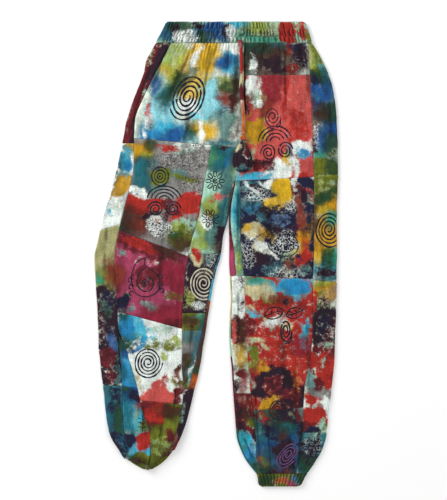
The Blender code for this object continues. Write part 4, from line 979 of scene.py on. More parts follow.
def front_height(half, x, drop, creases=1.0):
    """Height of the front layer's outer face, and the part of it that is creases."""
    from_outer = np.abs(x - section(half, "outer", drop))
    from_inner = np.abs(x - section(half, "inner", drop))
    closed = smooth(drop, *CROTCH_BLEND)
    ramp, edge = (
        smooth(from_outer, FOLD_RADIUS, far)
        * (1.0 - closed * (1.0 - smooth(from_inner, FOLD_RADIUS, far)))
        for far in (CROWN_RAMP, FOLD_RADIUS + EDGE_RAMP)
    )
    detail = crease_height(CREASES, x, drop) + crinkle(half, x, drop)
    detail = CREASE_SCALE * creases * edge * detail
    top = 2.0 * FOLD_RADIUS + (CROWN + crease_height(FOLDS, x, drop)) * ramp + detail
    top = top - rounding(from_outer) - closed * rounding(from_inner)
    return np.maximum(top, FRONT_LOWEST) + lift(half, drop), detail


def resting_height(x, drop, half_width):
    """The highest point of the front under something that lies across the centre seam."""
    heights = []
    for share in (-1.0, -0.5, 0.0, 0.5, 1.0):
        here = x + half_width * share
        right, left = (front_height(half, here, drop)[0] for half in ("right", "left"))
        heights.append(np.where(here < section("right", "inner", drop), right, left))
    return np.max(heights, axis=0)


def in_frame(x, drop, z):
    """Points in metres in the part's frame, from arrays in millimetres."""
    x, drop, z = np.broadcast_arrays(x, drop, z)
    return np.stack([x, LENGTH / 2.0 - drop, z], axis=-1) * MM


def grid_normals(grid, up):
    """A unit normal at each point of a grid. The third one of the first row faces up, or down."""
    normals = np.cross(np.gradient(grid, axis=1), np.gradient(grid, axis=0))
    normals /= np.maximum(np.linalg.norm(normals, axis=-1, keepdims=True), 1e-12)
    return normals if (normals[0, 2, 2] > 0) == up else -normals


def grid_faces(rows, columns, looped=False):
    """Quads of a grid of points, which a looped one closes across."""
    across = np.arange(columns if looped else columns - 1)
    first = (np.arange(rows - 1)[:, None] * columns + across).ravel()
    after = (np.arange(rows - 1)[:, None] * columns + (across + 1) % columns).ravel()
    return np.stack([first, after, after + columns, first + columns], axis=1)


def mesh_of(name, points, faces, fields=None):
    """A smooth mesh with its faces outward and each field as an attribute of its points."""
    points = np.asarray(points, float)
    quads = [list(face) for face in faces]
    corners = points[np.array([face[:3] for face in quads])]
    if np.einsum("ij,ij->i", corners[:, 0], np.cross(corners[:, 1], corners[:, 2])).sum() < 0:
        quads = [face[::-1] for face in quads]
    mesh = bpy.data.meshes.new(name)
    mesh.from_pydata(points.tolist(), [], quads)
    mesh.shade_smooth()
    for field, values in (fields or {}).items():
        mesh.attributes.new(field, "FLOAT", "POINT").data.foreach_set(
            "value", np.asarray(values, np.float32).ravel()
        )
    return mesh


def shell(name, outer, inner, fields, looped=False):
    """A closed thin wall between an outer and an inner grid of points."""
    rows, columns = outer.shape[:2]
    count = rows * columns
    faces = grid_faces(rows, columns, looped)
    index = np.arange(count).reshape(rows, columns)
    if looped:
        rims = [np.append(rim, rim[0]) for rim in (index[0], index[-1][::-1])]
    else:
        rims = [np.concatenate([index[0], index[1:, -1], index[-1, -2::-1], index[-2::-1, 0]])]
    walls = [
        np.stack([rim[1:], rim[:-1], rim[:-1] + count, rim[1:] + count], axis=1) for rim in rims
    ]
    quads = np.concatenate([faces, faces[:, ::-1] + count, *walls]).tolist()
    points = np.concatenate([outer.reshape(-1, 3), inner.reshape(-1, 3)])
    both = {field: np.tile(np.ravel(values), 2) for field, values in fields.items()}
    return mesh_of(name, points, quads, both)


def loft(name, rings, fields, closed=False):
    """A solid through a grid of looped rows, with its ends filled or joined to each other."""
    rows, columns = rings.shape[:2]
    faces = grid_faces(rows, columns, looped=True).tolist()
    last = (rows - 1) * columns
    if closed:
        faces += [[last + k, last + (k + 1) % columns, (k + 1) % columns, k] for k in range(columns)]
    else:
        faces += [list(range(columns))[::-1], list(range(last, last + columns))]
    return mesh_of(name, rings.reshape(-1, 3), faces, fields)


def place(name, mesh, material, slot, node=None):
    """A piece of the pants: it rides the root, and stands for its CAD node where it has one."""
    piece = bpy.data.objects.new(name, mesh)
    mesh.materials.append(material)
    bpy.context.scene.collection.objects.link(piece)
    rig.ride(piece, "root")
    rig.slot(piece, slot)
    if node:
        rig.replaces(piece, node)
    return piece


def blots_in(text):
    """The blots that a text lists."""
    return [[word, *map(float, numbers)] for word, *numbers in map(str.split, text.split(","))]


def painted(rows, x, drop, seed=5):
    """The dyes' fields at each point: how far inside each dye's edge it lies, in millimetres."""
    wx = x + 7.0 * noise(x / 25, drop / 27, seed) + 3.4 * noise(x / 10, drop / 11, seed + 1)
    wd = drop + 7.0 * noise(x / 27, drop / 25, seed + 2) + 3.4 * noise(x / 11, drop / 10, seed + 3)
    fields = {}
    for blot in rows_of(PAINT_NAMES, rows):
        lean = math.radians(blot.get("lean", 0.0))
        dx, dd = wx - blot["x"], wd - blot["drop"]
        across = np.abs(dx * math.cos(lean) - dd * math.sin(lean)) / blot["half_width"]
        down = np.abs(dx * math.sin(lean) + dd * math.cos(lean)) / blot["half_length"]
        out = (across**BLOT_POWER + down**BLOT_POWER) ** (1.0 / BLOT_POWER)
        inside = (1.0 - out) * min(blot["half_width"], blot["half_length"])
        inside = np.minimum(inside, blot["depth"])
        name = blot["dye"]
        rank = FIELD_NAMES.index(name)
        for other in fields:
            if rank < FIELD_NAMES.index(other) < len(DYE_ORDER) or name == "white":
                fields[other] = np.minimum(fields[other], OVERLAP - inside)
        fields[name] = np.maximum(fields.get(name, -FAR_OUTSIDE), inside)
    return {
        f"dye_{name}": np.maximum(field + FAR_OUTSIDE, 0.0)
        for name, field in fields.items()
        if field.max() > -FAR_OUTSIDE
    }


def dyed(name, x, drop, hollow):
    """The dyes' fields of a piece that isn't a patch, and painted shade that grows with how deep in a fold each point
    lies.
    """
    return {**painted(blots_in(PAINT[name]), x, drop), "hollow": hollow}


def back_splashes(patch, dyes, box):
    """Blots of the hidden side's dyes, spread over a patch's own box."""
    rng = np.random.default_rng(sum(map(ord, patch)))
    splashes = []
    for k in range(SPLASHES):
        x, drop = rng.uniform(box[0], box[1])
        wide, long = rng.uniform(10, 34), rng.uniform(14, 44)
        lean, depth = rng.uniform(-40, 40), rng.uniform(0, 9)
        splashes.append((dyes[k % len(dyes)], x, drop, wide, long, depth, lean))
    return splashes


def patches_of(column):
    """A column's patches: each one's name, its seams above and below, and whether it is hemmed."""
    seams = numbers_in(column["seams"])
    for k, (top, low) in enumerate(zip(seams, seams[1:])):
        hemmed = column["low_end"] == "hem" and k == len(seams) - 2
        yield f"{column['patches']}_{column['first'] + k}", top, low, hemmed


def back_wrinkles(x, drop):
    """Height of the low wrinkles under the back."""
    return BACK_WRINKLE * np.maximum(noise(x / 14, drop / 50, 41), 0.0)


def patch_grid(column, top, low, sizes):
    """The parts of a patch's outer face: X, drop, height, crease share and distances to its edges."""
    half, kind = column["half"], column["kind"]
    wrapped = kind.startswith("round")
    cell = (sizes.back_cell if kind == "back" else sizes.front_cell) / MM
    count = max(3, math.ceil((low[1] + low[0] - top[0] - top[1]) / 2 / cell))
    down = np.linspace(0.0, 1.0, count + 1)[:, None]
    a_drop, b_drop = (above + (below - above) * down for above, below in zip(top, low))
    if wrapped:
        apex_name = "outer" if kind == "round outer fold" else "inner"
        out = outward(half) if apex_name == "outer" else -outward(half)

    def far_edge(drop):
        if wrapped:
            return section(half, apex_name, drop) - out * FOLD_RADIUS
        return edge_x(half, column["edge_b"], drop)

    near_edge = edge_x(half, column["edge_a"], a_drop)
    width = np.abs(far_edge(b_drop) - near_edge).max()
    share = np.linspace(0.0, 1.0, max(2, math.ceil(width / cell)) + 1)[None, :]
    drop = a_drop + (b_drop - a_drop) * share
    near, far = edge_x(half, column["edge_a"], drop), far_edge(drop)
    x = near + (far - near) * share
    if kind == "back":
        z, detail = lift(half, drop) + back_wrinkles(x, drop), np.zeros_like(x)
    else:
        z, detail = front_height(half, x, drop, sizes.creases)
    from_side = np.abs(x - near)
    if not wrapped:
        from_side = np.minimum(from_side, np.abs(far - x))
    parts = [(x, drop, z, detail, from_side, np.abs(x - near))]
    if wrapped:
        turn = far[:, -1:]
        angle = np.linspace(0.5, -0.5, FOLD_STEPS + 1)[None, 1:] * np.pi
        fold_x = turn + out * FOLD_RADIUS * np.cos(angle)
        fold_z = FOLD_RADIUS * (1.0 + np.sin(angle)) + lift(half, b_drop)
        level = 0.0 * fold_x
        parts.append((fold_x, b_drop + level, fold_z, level, level + FAR, level + FAR))
        seam = edge_x(half, column["edge_b"], b_drop)
        cells = max(2, math.ceil(np.abs(seam - turn).max() / (sizes.back_cell / MM)))
        share = np.linspace(0.0, 1.0, cells + 1)[None, 1:]
        back_x = turn + (seam - turn) * share
        rise = back_wrinkles(back_x, b_drop) * smooth(np.abs(back_x - turn), 0.0, 14.0)
        level, gap = 0.0 * back_x, np.abs(seam - back_x)
        parts.append((back_x, b_drop + level, rise + lift(half, b_drop), level, gap, level + FAR))
    x, drop, z, detail, from_side, from_a = (np.concatenate(p, axis=1) for p in zip(*parts))
    return x, drop, z, detail, from_side, from_a, drop - drop[:1], drop[-1:] - drop


def seam_relief(from_side, from_a, from_top, from_low, ends_in_hem, sizes):
    """Height of the groove along every seam and of the felled ridge along the top and first ones."""
    groove = np.minimum(from_side, from_top)
    if not ends_in_hem:
        groove = np.minimum(groove, from_low)
    relief = -(sizes.seam_groove / MM) * (1.0 - smooth(groove, 0.0, GROOVE_REACH))
    width = sizes.seam_width / MM
    felled = np.minimum(from_a, from_top)
    ridge = smooth(felled, *FELL_START) * (1.0 - smooth(felled, width, width + FELL_END))
    return relief, (sizes.seam_rise / MM) * ridge


def cut_of(grid):
    """What a grid of points was cut from: its longest row and column, and its area, in metres."""
    wide, long = (
        float(np.linalg.norm(np.diff(grid, axis=axis), axis=-1).sum(axis=axis).max())
        for axis in (1, 0)
    )
    sides = grid[1:, 1:] - grid[:-1, :-1], grid[1:, :-1] - grid[:-1, 1:]
    area = 0.5 * float(np.linalg.norm(np.cross(*sides), axis=-1).sum())
    return {"flat": (wide, long), "area": min(area, wide * long)}


def build_patch(name, column, top, low, hemmed, sizes, material):
    """One patch, and the cut of its cloth."""
    x, drop, z, detail, from_side, from_a, from_top, from_low = patch_grid(column, top, low, sizes)
    if hemmed:
        roll = np.sqrt(np.maximum(1.0 - (1.0 - np.minimum(from_low / HEM_ROLL, 1.0)) ** 2, 0.0))
        z = HEM_BASE + (z - HEM_BASE) * (HEM_THIN + (1.0 - HEM_THIN) * roll)
    outer = in_frame(x, drop, z)
    normals = grid_normals(outer, up=column["kind"] != "back")
    groove, ridge = seam_relief(from_side, from_a, from_top, from_low, hemmed, sizes)
    outer = outer + normals * ((groove + ridge * (normals[..., 2] > 0)) * MM)[..., None]
    outer[..., 2] = np.maximum(outer[..., 2], 0.0)
    rows = blots_in(PAINT[name]) if name in PAINT else []
    if name in BACK_PAINT:
        own, *splashes = BACK_PAINT[name].split()
        box = [[x.min() + SPLASH_INSET, drop.min()], [x.max() - SPLASH_INSET, drop.max()]]
        own = (own, 0, LENGTH / 2, LENGTH, LENGTH, 20)
        rows = (own, *back_splashes(name, splashes, box), *rows)
    fields = painted(rows, x, drop)
    # Painted shade: the cloth is darkened in deep creases and seam grooves.
    fields["hollow"] = np.clip(-(detail + 0.5 * groove) / HOLLOW_DEPTH, 0.0, 1.0)
    mesh = shell(name, outer, outer - normals * sizes.wall, fields)
    return place(f"{name}_cloth", mesh, material, "patchwork_cotton", name), cut_of(outer)


def build_patches(sizes, material):
    """Every patch with the cut of its cloth, by the patch's name."""
    return {
        name: build_patch(name, column, top, low, hemmed, sizes, material)
        for column in rows_of(COLUMN_NAMES, COLUMNS)
        for name, top, low, hemmed in patches_of(column)
    }


def coil(turns, start=0.08):
    """A spiral in a unit circle, from its edge in."""
    t = np.linspace(0.0, 1.0, 40 * math.ceil(turns))
    reach = 1.0 - (1.0 - start) * t
    angle = 2.0 * np.pi * turns * t
    return np.stack([reach * np.cos(angle), reach * np.sin(angle)], axis=1)


def arc(wide, tall, y, start, end):
    """Part of an upright ellipse, between two angles in degrees."""
    angle = np.radians(np.linspace(start, end, 30))
    return np.stack([wide * np.cos(angle), y + tall * np.sin(angle)], axis=1)


def ring(radius, x=0.0, y=0.0, tall=1.0):
    angle = np.linspace(0.0, 2.0 * np.pi, 40)
    return np.stack([x + radius * np.cos(angle), y + radius * tall * np.sin(angle)], axis=1)


def curve(*points):
    """A smooth curve through these places."""
    spots = np.array([points[0], *points, points[-1]], float)
    fine = []
    for p0, p1, p2, p3 in zip(spots, spots[1:], spots[2:], spots[3:]):
        t = np.linspace(0.0, 1.0, 12, endpoint=False)[:, None]
        fine.append(
            0.5 * (2 * p1 + (p2 - p0) * t + (2 * p0 - 5 * p1 + 4 * p2 - p3) * t**2
                   + (3 * p1 - p0 - 3 * p2 + p3) * t**3)
        )
    return np.concatenate([*fine, spots[-1:]])


def motif_strokes(motif):
    """The strokes of a motif, each a line of places in a square from -1 to 1, y down."""
    if motif == "tailed spiral":
        return [coil(4.6, 0.1) @ np.array([[-0.7, 0.7], [0.7, 0.7]])]
    if motif == "wide spiral":
        return [coil(4.4, 0.1)]
    if motif == "spiral":
        return [coil(3.6, 0.1)]
    if motif == "curl":
        return [coil(2.4, 0.14), curve((1.0, 0.0), (0.8, 0.9), (-0.3, 1.1))]
    if motif == "target":
        return [ring(1.0), ring(0.66), ring(0.33), ring(0.08)]
    if motif == "flower":
        petals = []
        for k in range(8):
            c, s = math.cos(k * np.pi / 4.0), math.sin(k * np.pi / 4.0)
            petal = ring(0.28, 0.66, 0.0, tall=0.55)
            petals.append(petal @ np.array([[c, s], [-s, c]]))
        return [ring(0.2), ring(0.06), *petals]
    if motif == "leaf":
        sides = [curve((-1, 0.1), (-0.4, 0.9 * s), (0.4, 0.9 * s), (1, -0.1)) for s in (-1, 1)]
        veins = [curve((x, 0.0), (x + 0.3, 0.6 * s)) for x in (-0.35, 0.2) for s in (-1, 1)]
        return [*sides, curve((-1.3, 0.3), (0.0, -0.1), (0.8, -0.1)), *veins]
    if motif == "sprig":
        stem = curve((0, 1), (0.1, 0.2), (-0.05, -1))
        sides = [
            curve((0.05, y), (0.5 * s, y - 0.25), (0.85 * s, y - 0.15))
            for y in (0.6, 0.1, -0.4) for s in (-1, 1)
        ]
        return [stem, *sides]
    if motif == "paisley":
        sprays = [
            curve((0.75 * s, y), (s, y - 0.12), (1.12 * s, y + 0.06), (0.95 * s, y + 0.12))
            for s in (-1, 1) for y in (0.05, 0.4, 0.75)
        ]
        return [
            curve((0.2, -1), (-0.5, -0.75), (-0.9, 0), (-0.7, 0.75), (0, 1), (0.75, 0.75),
                  (0.9, 0.1), (0.45, -0.35), (0.05, -0.65), (0.2, -1)),
            curve((0.1, -0.5), (-0.4, -0.2), (-0.55, 0.3), (-0.2, 0.7), (0.3, 0.65), (0.5, 0.25),
                  (0.15, -0.1)),
            ring(0.16, -0.05, 0.28), ring(0.06, -0.05, 0.28), *sprays,
            curve((0.35, 0.0), (0.2, 0.25), (0.25, 0.45)),
        ]
    volutes = [coil(2.3, 0.15) * [0.46 * side, -0.5] + [0.5 * side, 0.45] for side in (-1, 1)]
    arches = [arc(reach, 0.88 * reach, -0.12, -172.0, -8.0) for reach in (1.0, 0.77, 0.54, 0.31)]
    return [*volutes, *arches]


def ribbon(line, half_width, surface):
    """Runs of a thin closed strip of ink along a line of places on the cloth: its patch and points."""
    steps = np.linalg.norm(np.diff(line, axis=0), axis=1)
    run = np.concatenate([[0.0], np.cumsum(steps)])
    wanted = np.linspace(0.0, run[-1], max(3, round(run[-1] / PRINT_STEP)))
    line = np.stack([np.interp(wanted, run, line[:, k]) for k in (0, 1)], axis=1)
    ahead = np.gradient(line, axis=0)
    aside = np.stack([-ahead[:, 1], ahead[:, 0]], axis=1)
    aside /= np.linalg.norm(aside, axis=1, keepdims=True)
    taper = np.minimum(1.0, 0.35 + 0.25 * np.minimum(np.arange(len(line)), np.arange(len(line))[::-1]))
    width = half_width * (0.8 + 0.35 * noise(line[:, 0] / 7, line[:, 1] / 7, 53)) * taper
    worn = noise(line[:, 0] / 5, line[:, 1] / 5, 59) > 0.93
    crossed = []
    for spot, side, reach, gone in zip(line, aside, width, worn):
        hits = [surface(*(spot + side * reach * share)) for share in (-1.0, 0.0, 1.0)]
        owners = {hit and hit[1] for hit in hits}
        crossed.append((None if gone or len(owners) > 1 else owners.pop(), hits))
    runs = []
    for owner, rows in groupby(crossed, key=lambda row: row[0]):
        run = [[hit[0] for hit in hits] for _, hits in rows] if owner else []
        if len(run) > 2:
            runs.append((owner, np.array(run)))
    return runs


def front_of(patches):
    """What a block print meets from above: a tree of the front's faces, and each face's patch."""
    points, faces, owners = [], [], []
    for name, (patch, _) in patches.items():
        if "back" in name:
            continue
        base = len(points)
        points.extend(tuple(vertex.co) for vertex in patch.data.vertices)
        for polygon in patch.data.polygons:
            faces.append([base + v for v in polygon.vertices])
            owners.append(name)
    return BVHTree.FromPolygons(points, faces), owners


def build_prints(patches, inks):
    """Strips of ink on the patches: one piece for each patch and ink."""
    tree, owners = front_of(patches)

    def surface(x, drop):
        above = Vector((x * MM, (LENGTH / 2.0 - drop) * MM, 0.1))
        spot, normal, index, _ = tree.ray_cast(above, Vector((0.0, 0.0, -1.0)))
        if spot is None or spot.z < PRINT_LOWEST * MM or normal.z < PRINT_STEEPEST:
            return None
        return tuple(spot), owners[index]

    strips = {}
    for row in rows_of(MOTIF_NAMES, MOTIFS):
        lean = math.radians(row["lean"])
        for stroke in motif_strokes(row["motif"]):
            across, down = stroke[:, 0] * row["half_width"], stroke[:, 1] * row["half_height"]
            x = row["x"] + across * math.cos(lean) + down * math.sin(lean)
            drop = row["drop"] - across * math.sin(lean) + down * math.cos(lean)
            x = x + 1.2 * noise(drop / 14, 0.5, 61)
            for owner, run in ribbon(np.stack([x, drop], axis=1), 0.5 * row["stroke"], surface):
                strips.setdefault((owner, row["ink"]), []).append(run)
    prints = {}
    for (owner, ink), runs in strips.items():
        points, quads = [], []
        for run in runs:
            base = len(points)
            top, low = run + [0, 0, INK_RISE * MM], run - [0, 0, INK_SINK * MM]
            top[:, (0, 2), 2] -= INK_BEVEL * MM
            rings = np.concatenate([top, low[:, ::-1]], axis=1)
            points.extend(rings.reshape(-1, 3).tolist())
            quads.extend((grid_faces(len(run), 6, looped=True) + base).tolist())
            for end, turn in ((base, -1), (len(points) - 6, 1)):
                for quad in ((0, 1, 4, 5), (1, 2, 3, 4)):
                    quads.append([end + k for k in quad[::turn]])
        name = f"block_print_{owner}" + ("" if ink == "ink" else f"_{ink}")
        mesh = mesh_of(name, points, quads)
        prints.setdefault(owner, []).append(place(name, mesh, inks[ink], "patchwork_cotton"))
    return prints


def band_grid(face, sizes):
    """The waistband's outer face on one side, round half of each end fold: X, drop, height, painted shade."""
    drop = np.linspace(0.0, BAND_DEPTH, BAND_ROWS)[:, None]
    start = along(BAND, BAND_NAMES, "right_end", drop) + BAND_RADIUS
    end = along(BAND, BAND_NAMES, "left_end", drop) - BAND_RADIUS
    top = along(BAND, BAND_NAMES, "top", drop) - BAND_RADIUS
    angle = np.radians(np.linspace(0.0, 90.0, 8))[None, :-1]
    share = np.linspace(0.0, 1.0, BAND_COLUMNS)[None, :]
    sew = np.min([np.abs(drop - seam) for seam in (0.0, *BAND_SEAMS)], axis=0)
    slack = 0.3 + 0.7 * smooth(sew, 0.0, 4.0)
    channel = np.searchsorted(BAND_SEAMS, drop[:, 0])[:, None]
    lane = share * BAND_RUN
    phase = 1.9 * noise(lane / 13, channel * 3.7, 67) + 0.5 * noise(lane / 9, drop / 8, 71)
    wave = np.cos(2.0 * np.pi * lane / (sizes.pucker / MM) + phase * 2.2)
    pucker = sizes.pucker_rise / MM * (wave * (0.7 + 0.5 * noise(lane / 11, channel * 1.3, 73)) - 0.1)
    ends = smooth(np.minimum(share, 1.0 - share), 0.0, 0.03)
    stitched = -0.9 * np.exp(-((sew / 0.9) ** 2)) * (drop > 2)
    relief = (pucker * slack + stitched) * ends
    rise = top * np.sin(angle)
    if face == "back":
        rise = BAND_RADIUS * np.sin(angle) + 0.0 * drop
        flat_z = np.maximum(0.0, -0.5 * relief)
    else:
        flat_z = BAND_RADIUS + top + relief
    edge = smooth(drop, 0.0, 2.5)
    flat_z = BAND_RADIUS + (flat_z - BAND_RADIUS) * (0.75 + 0.25 * edge)
    down = -1.0 if face == "back" else 1.0
    sides = [
        (start - BAND_RADIUS * np.cos(angle), BAND_RADIUS + down * rise),
        (start + (end - start) * share, flat_z),
        ((end + BAND_RADIUS * np.cos(angle))[:, ::-1], (BAND_RADIUS + down * rise)[:, ::-1]),
    ]
    x = np.concatenate([np.broadcast_to(s[0], (len(drop), s[0].shape[1])) for s in sides], axis=1)
    z = np.concatenate([s[1] for s in sides], axis=1)
    waves = noise(x / 9, 0.5, 79) * (1.0 - smooth(drop, 0.0, 9.0))
    flat = np.concatenate([0.0 * rise, relief, 0.0 * rise], axis=1)
    # Painted shade in the troughs of the puckers and along the stitched lines.
    hollow = np.clip(-flat / 1.7, 0.0, 1.0)
    return x, np.maximum(drop + waves, 0.0) + 0.0 * x, np.maximum(z, 0.0), hollow


def build_waistband(sizes, material):
    """Both faces of the waistband, each with the cut of its cloth."""
    pieces = {}
    for face in ("front", "back"):
        x, drop, z, hollow = band_grid(face, sizes)
        outer = in_frame(x, drop, z)
        inner = outer - grid_normals(outer, up=face == "front") * 1.8 * sizes.wall
        name = f"waistband_{face}"
        mesh = shell(name, outer, inner, dyed(name, x, drop, hollow))
        piece = place(f"{name}_casing", mesh, material, "waistband_cotton", name)
        pieces[face] = piece, cut_of(outer)
    return pieces


def stitch_tree(sizes, material):
    """Geometry Nodes that lay one stitch after another along the lines of a mesh."""
    tree = bpy.data.node_groups.new("running_stitches", "GeometryNodeTree")
    socket = tree.interface.new_socket
    socket("Lines", in_out="INPUT", socket_type="NodeSocketGeometry")
    values = {
        socket(name, in_out="INPUT", socket_type="NodeSocketFloat").identifier: size
        for name, size in (
            ("Pitch", sizes.stitch_pitch), ("Stitch length", sizes.stitch),
            ("Thread thickness", sizes.thread),
        )
    }
    socket("Stitches", in_out="OUTPUT", socket_type="NodeSocketGeometry")
    given = add(tree, "NodeGroupInput").outputs
    curves = add(tree, "GeometryNodeMeshToCurve", {"Mesh": given["Lines"]})
    spots = add(
        tree, "GeometryNodeResampleCurve", {"Curve": curves.outputs[0], "Length": given["Pitch"]},
        mode="LENGTH",
    )
    tangent = add(tree, "GeometryNodeInputTangent")
    turned = add(tree, "FunctionNodeAlignRotationToVector", {"Vector": tangent.outputs[0]}, axis="X")
    jitter = add(tree, "FunctionNodeRandomValue", {2: 0.85, 3: 1.1, "Seed": 4}, data_type="FLOAT")
    grain = add(tree, "GeometryNodeMeshUVSphere", {"Segments": 6, "Rings": 4, "Radius": 0.5})
    thick = given["Thread thickness"]
    scale = add(tree, "ShaderNodeCombineXYZ", {"X": given["Stitch length"], "Y": thick, "Z": thick})
    shaped = add(tree, "GeometryNodeTransform", {0: grain.outputs[0], "Scale": scale.outputs[0]})
    laid = add(
        tree, "GeometryNodeInstanceOnPoints",
        {"Points": spots.outputs[0], "Instance": shaped.outputs[0], "Rotation": turned.outputs[0],
         "Scale": jitter.outputs[1]},
    )
    real = add(tree, "GeometryNodeRealizeInstances", {"Geometry": laid.outputs[0]})
    smoothed = add(tree, "GeometryNodeSetShadeSmooth", {0: real.outputs[0]})
    spun = add(tree, "GeometryNodeSetMaterial", {"Geometry": smoothed.outputs[0], "Material": material})
    add(tree, "NodeGroupOutput", {"Stitches": spun.outputs[0]})
    return tree, values


def build_stitches(face, sizes, thread):
    """The waistband's rows of elastic stitching on one face."""
    x, drop, z, _ = band_grid(face, sizes)
    points, edges = [], []
    for seam in BAND_SEAMS:
        row = int(round(seam / BAND_DEPTH * (len(drop) - 1))) - (seam >= BAND_DEPTH)
        line = in_frame(x[row, 9:-9], drop[row, 9:-9], z[row, 9:-9])
        line[:, 2] += 0.1 * MM if face == "front" else 0.3 * MM
        base = len(points)
        points.extend(line.tolist())
        edges.extend((base + k, base + k + 1) for k in range(len(line) - 1))
    lines = bpy.data.meshes.new("stitch_lines")
    lines.from_pydata(points, edges, [])
    carrier = bpy.data.objects.new("stitch_lines", lines)
    bpy.context.scene.collection.objects.link(carrier)
    modifier = carrier.modifiers.new("stitches", "NODES")
    modifier.node_group, values = stitch_tree(sizes, thread)
    for identifier, value in values.items():
        modifier[identifier] = value
    shown = carrier.evaluated_get(bpy.context.evaluated_depsgraph_get())
    mesh = bpy.data.meshes.new_from_object(shown)
    bpy.data.objects.remove(carrier)
    mesh.materials.clear()
    return place(f"stitches_{face}", mesh, thread, "waistband_cotton")


def flat_loops(rows, names, count, puckers, rise):
    """Flattened round-ended loops down a tube, puckered by its elastic, with their outward normals and painted shade
    in the puckers' troughs.
    """
    drop = np.linspace(rows[0][0], rows[-1][0], count)[:, None]
    ends = [along(rows, names, name, drop) for name in ("inner_end", "outer_end")]
    start, end = np.minimum(*ends), np.maximum(*ends)
    radius = 0.5 * along(rows, names, "height", drop)
    share = np.arange(puckers * 10)[None, :] / (puckers * 10)
    straight = (end - start) - 2.0 * radius
    half_turn = np.pi * radius
    run = share * (2.0 * straight + 2.0 * half_turn)
    beyond_end, beyond_start = run - half_turn, run - 2.0 * half_turn - straight
    stretches = [beyond_end < 0.0, beyond_end < straight, beyond_start < 0.0]
    quarter = 0.5 * np.pi
    angle = np.select(
        stretches, [run / radius - quarter, quarter, (run - straight) / radius - quarter],
        3.0 * quarter,
    )
    centre = np.select(
        stretches, [end - radius, end - radius - beyond_end, start + radius],
        start + radius + beyond_start,
    )
    phase = 2.0 * noise(share * puckers / 2.3, drop / 14, 83)
    wave = rise * (np.cos(2.0 * np.pi * puckers * share + phase) - 0.4)
    normal = np.stack([np.cos(angle), 0.0 * angle, np.sin(angle)], axis=-1)
    x = centre + (radius + wave) * np.cos(angle)
    z = np.maximum(radius + (radius + wave) * np.sin(angle), 0.0)
    return x, drop + 0.0 * x, z, normal, np.clip(-(wave + 0.2) / rise, 0.0, 1.0)


def build_cuff(name, sheet, grid, wall, material):
    """A cuff, from its grid of points and their outward normals, and the cut of its cloth."""
    x, drop, z, normal, hollow = grid
    outer = in_frame(x, drop, z)
    inner = outer - normal * wall
    inner[..., 2] = np.clip(inner[..., 2], 0.0, outer[..., 2].max())
    mesh = shell(name, outer, inner, dyed(name, x, drop, hollow), looped=True)
    cuff = place(sheet, mesh, material, "cuff_cotton", name)
    return cuff, cut_of(np.concatenate([outer, outer[:, :1]], axis=1))


def build_cuffs(sizes, material):
    """The gathered left cuff, with its flared low edge, and the right one, flat under its leg."""
    x, drop, z, *rest = flat_loops(CUFF, CUFF_NAMES, 22, 30, 0.9)
    flare = 1.4 * noise(x / 6, 0.5, 89) * smooth(drop, 986.0, 1000.0)
    grid = x, np.minimum(drop + flare, LENGTH), z, *rest
    cuff, cut = build_cuff("left_cuff", "left_cuff_gathered", grid, 1.5 * sizes.wall, material)
    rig.sheet(cuff, held="gathered", **cut)
    x, drop, z, *rest = flat_loops(TUCK, CUFF_NAMES, 26, 26, 0.35)
    grid = x, drop, np.minimum(z, TUCK_TOP), *rest
    tuck, cut = build_cuff(
        "right_cuff_turned_under", "right_cuff_fold", grid, sizes.wall, material
    )
    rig.sheet(tuck, held="folded", **cut)


def cord_path():
    """The drawstring's centreline, resting on the cloth, in millimetres."""
    line = curve(*CORD)
    run = np.concatenate([[0.0], np.cumsum(np.linalg.norm(np.diff(line, axis=0), axis=1))])
    wanted = np.linspace(0.0, run[-1], round(run[-1] / CORD_STEP))
    x, drop = (np.interp(wanted, run, line[:, k]) for k in (0, 1))
    band_top = max(row[BAND_NAMES.index("top")] for row in BAND) + 0.4
    below = np.maximum(resting_height(x, drop, 4.0), band_top * (1.0 - smooth(drop, 50.0, 60.0)))
    spread = np.array([below[max(0, i - 4) : i + 5].max() for i in range(len(below))])
    below = np.convolve(np.pad(spread, 5, mode="edge"), np.ones(11) / 11.0, mode="valid")
    return np.stack([x, drop, np.maximum(below, spread - 0.3) + 3.9], axis=1)


def tube_rings(path, wide, deep, twist, sides):
    """Rings of a flat, twisted strip round a path: points, in millimetres, x, drop and z."""
    ahead = np.gradient(path, axis=0)
    ahead /= np.linalg.norm(ahead, axis=1, keepdims=True)
    side = np.cross(ahead, [0.0, 0.0, 1.0])
    side /= np.maximum(np.linalg.norm(side, axis=1, keepdims=True), 1e-6)
    up = np.cross(side, ahead)
    angle = np.linspace(0.0, 2.0 * np.pi, sides, endpoint=False)[None, :]
    turn = twist[:, None]
    a, b = 0.5 * wide * np.cos(angle), 0.5 * deep * np.sin(angle)
    a, b = a * np.cos(turn) - b * np.sin(turn), a * np.sin(turn) + b * np.cos(turn)
    return path[:, None, :] + side[:, None, :] * a[..., None] + up[:, None, :] * b[..., None]


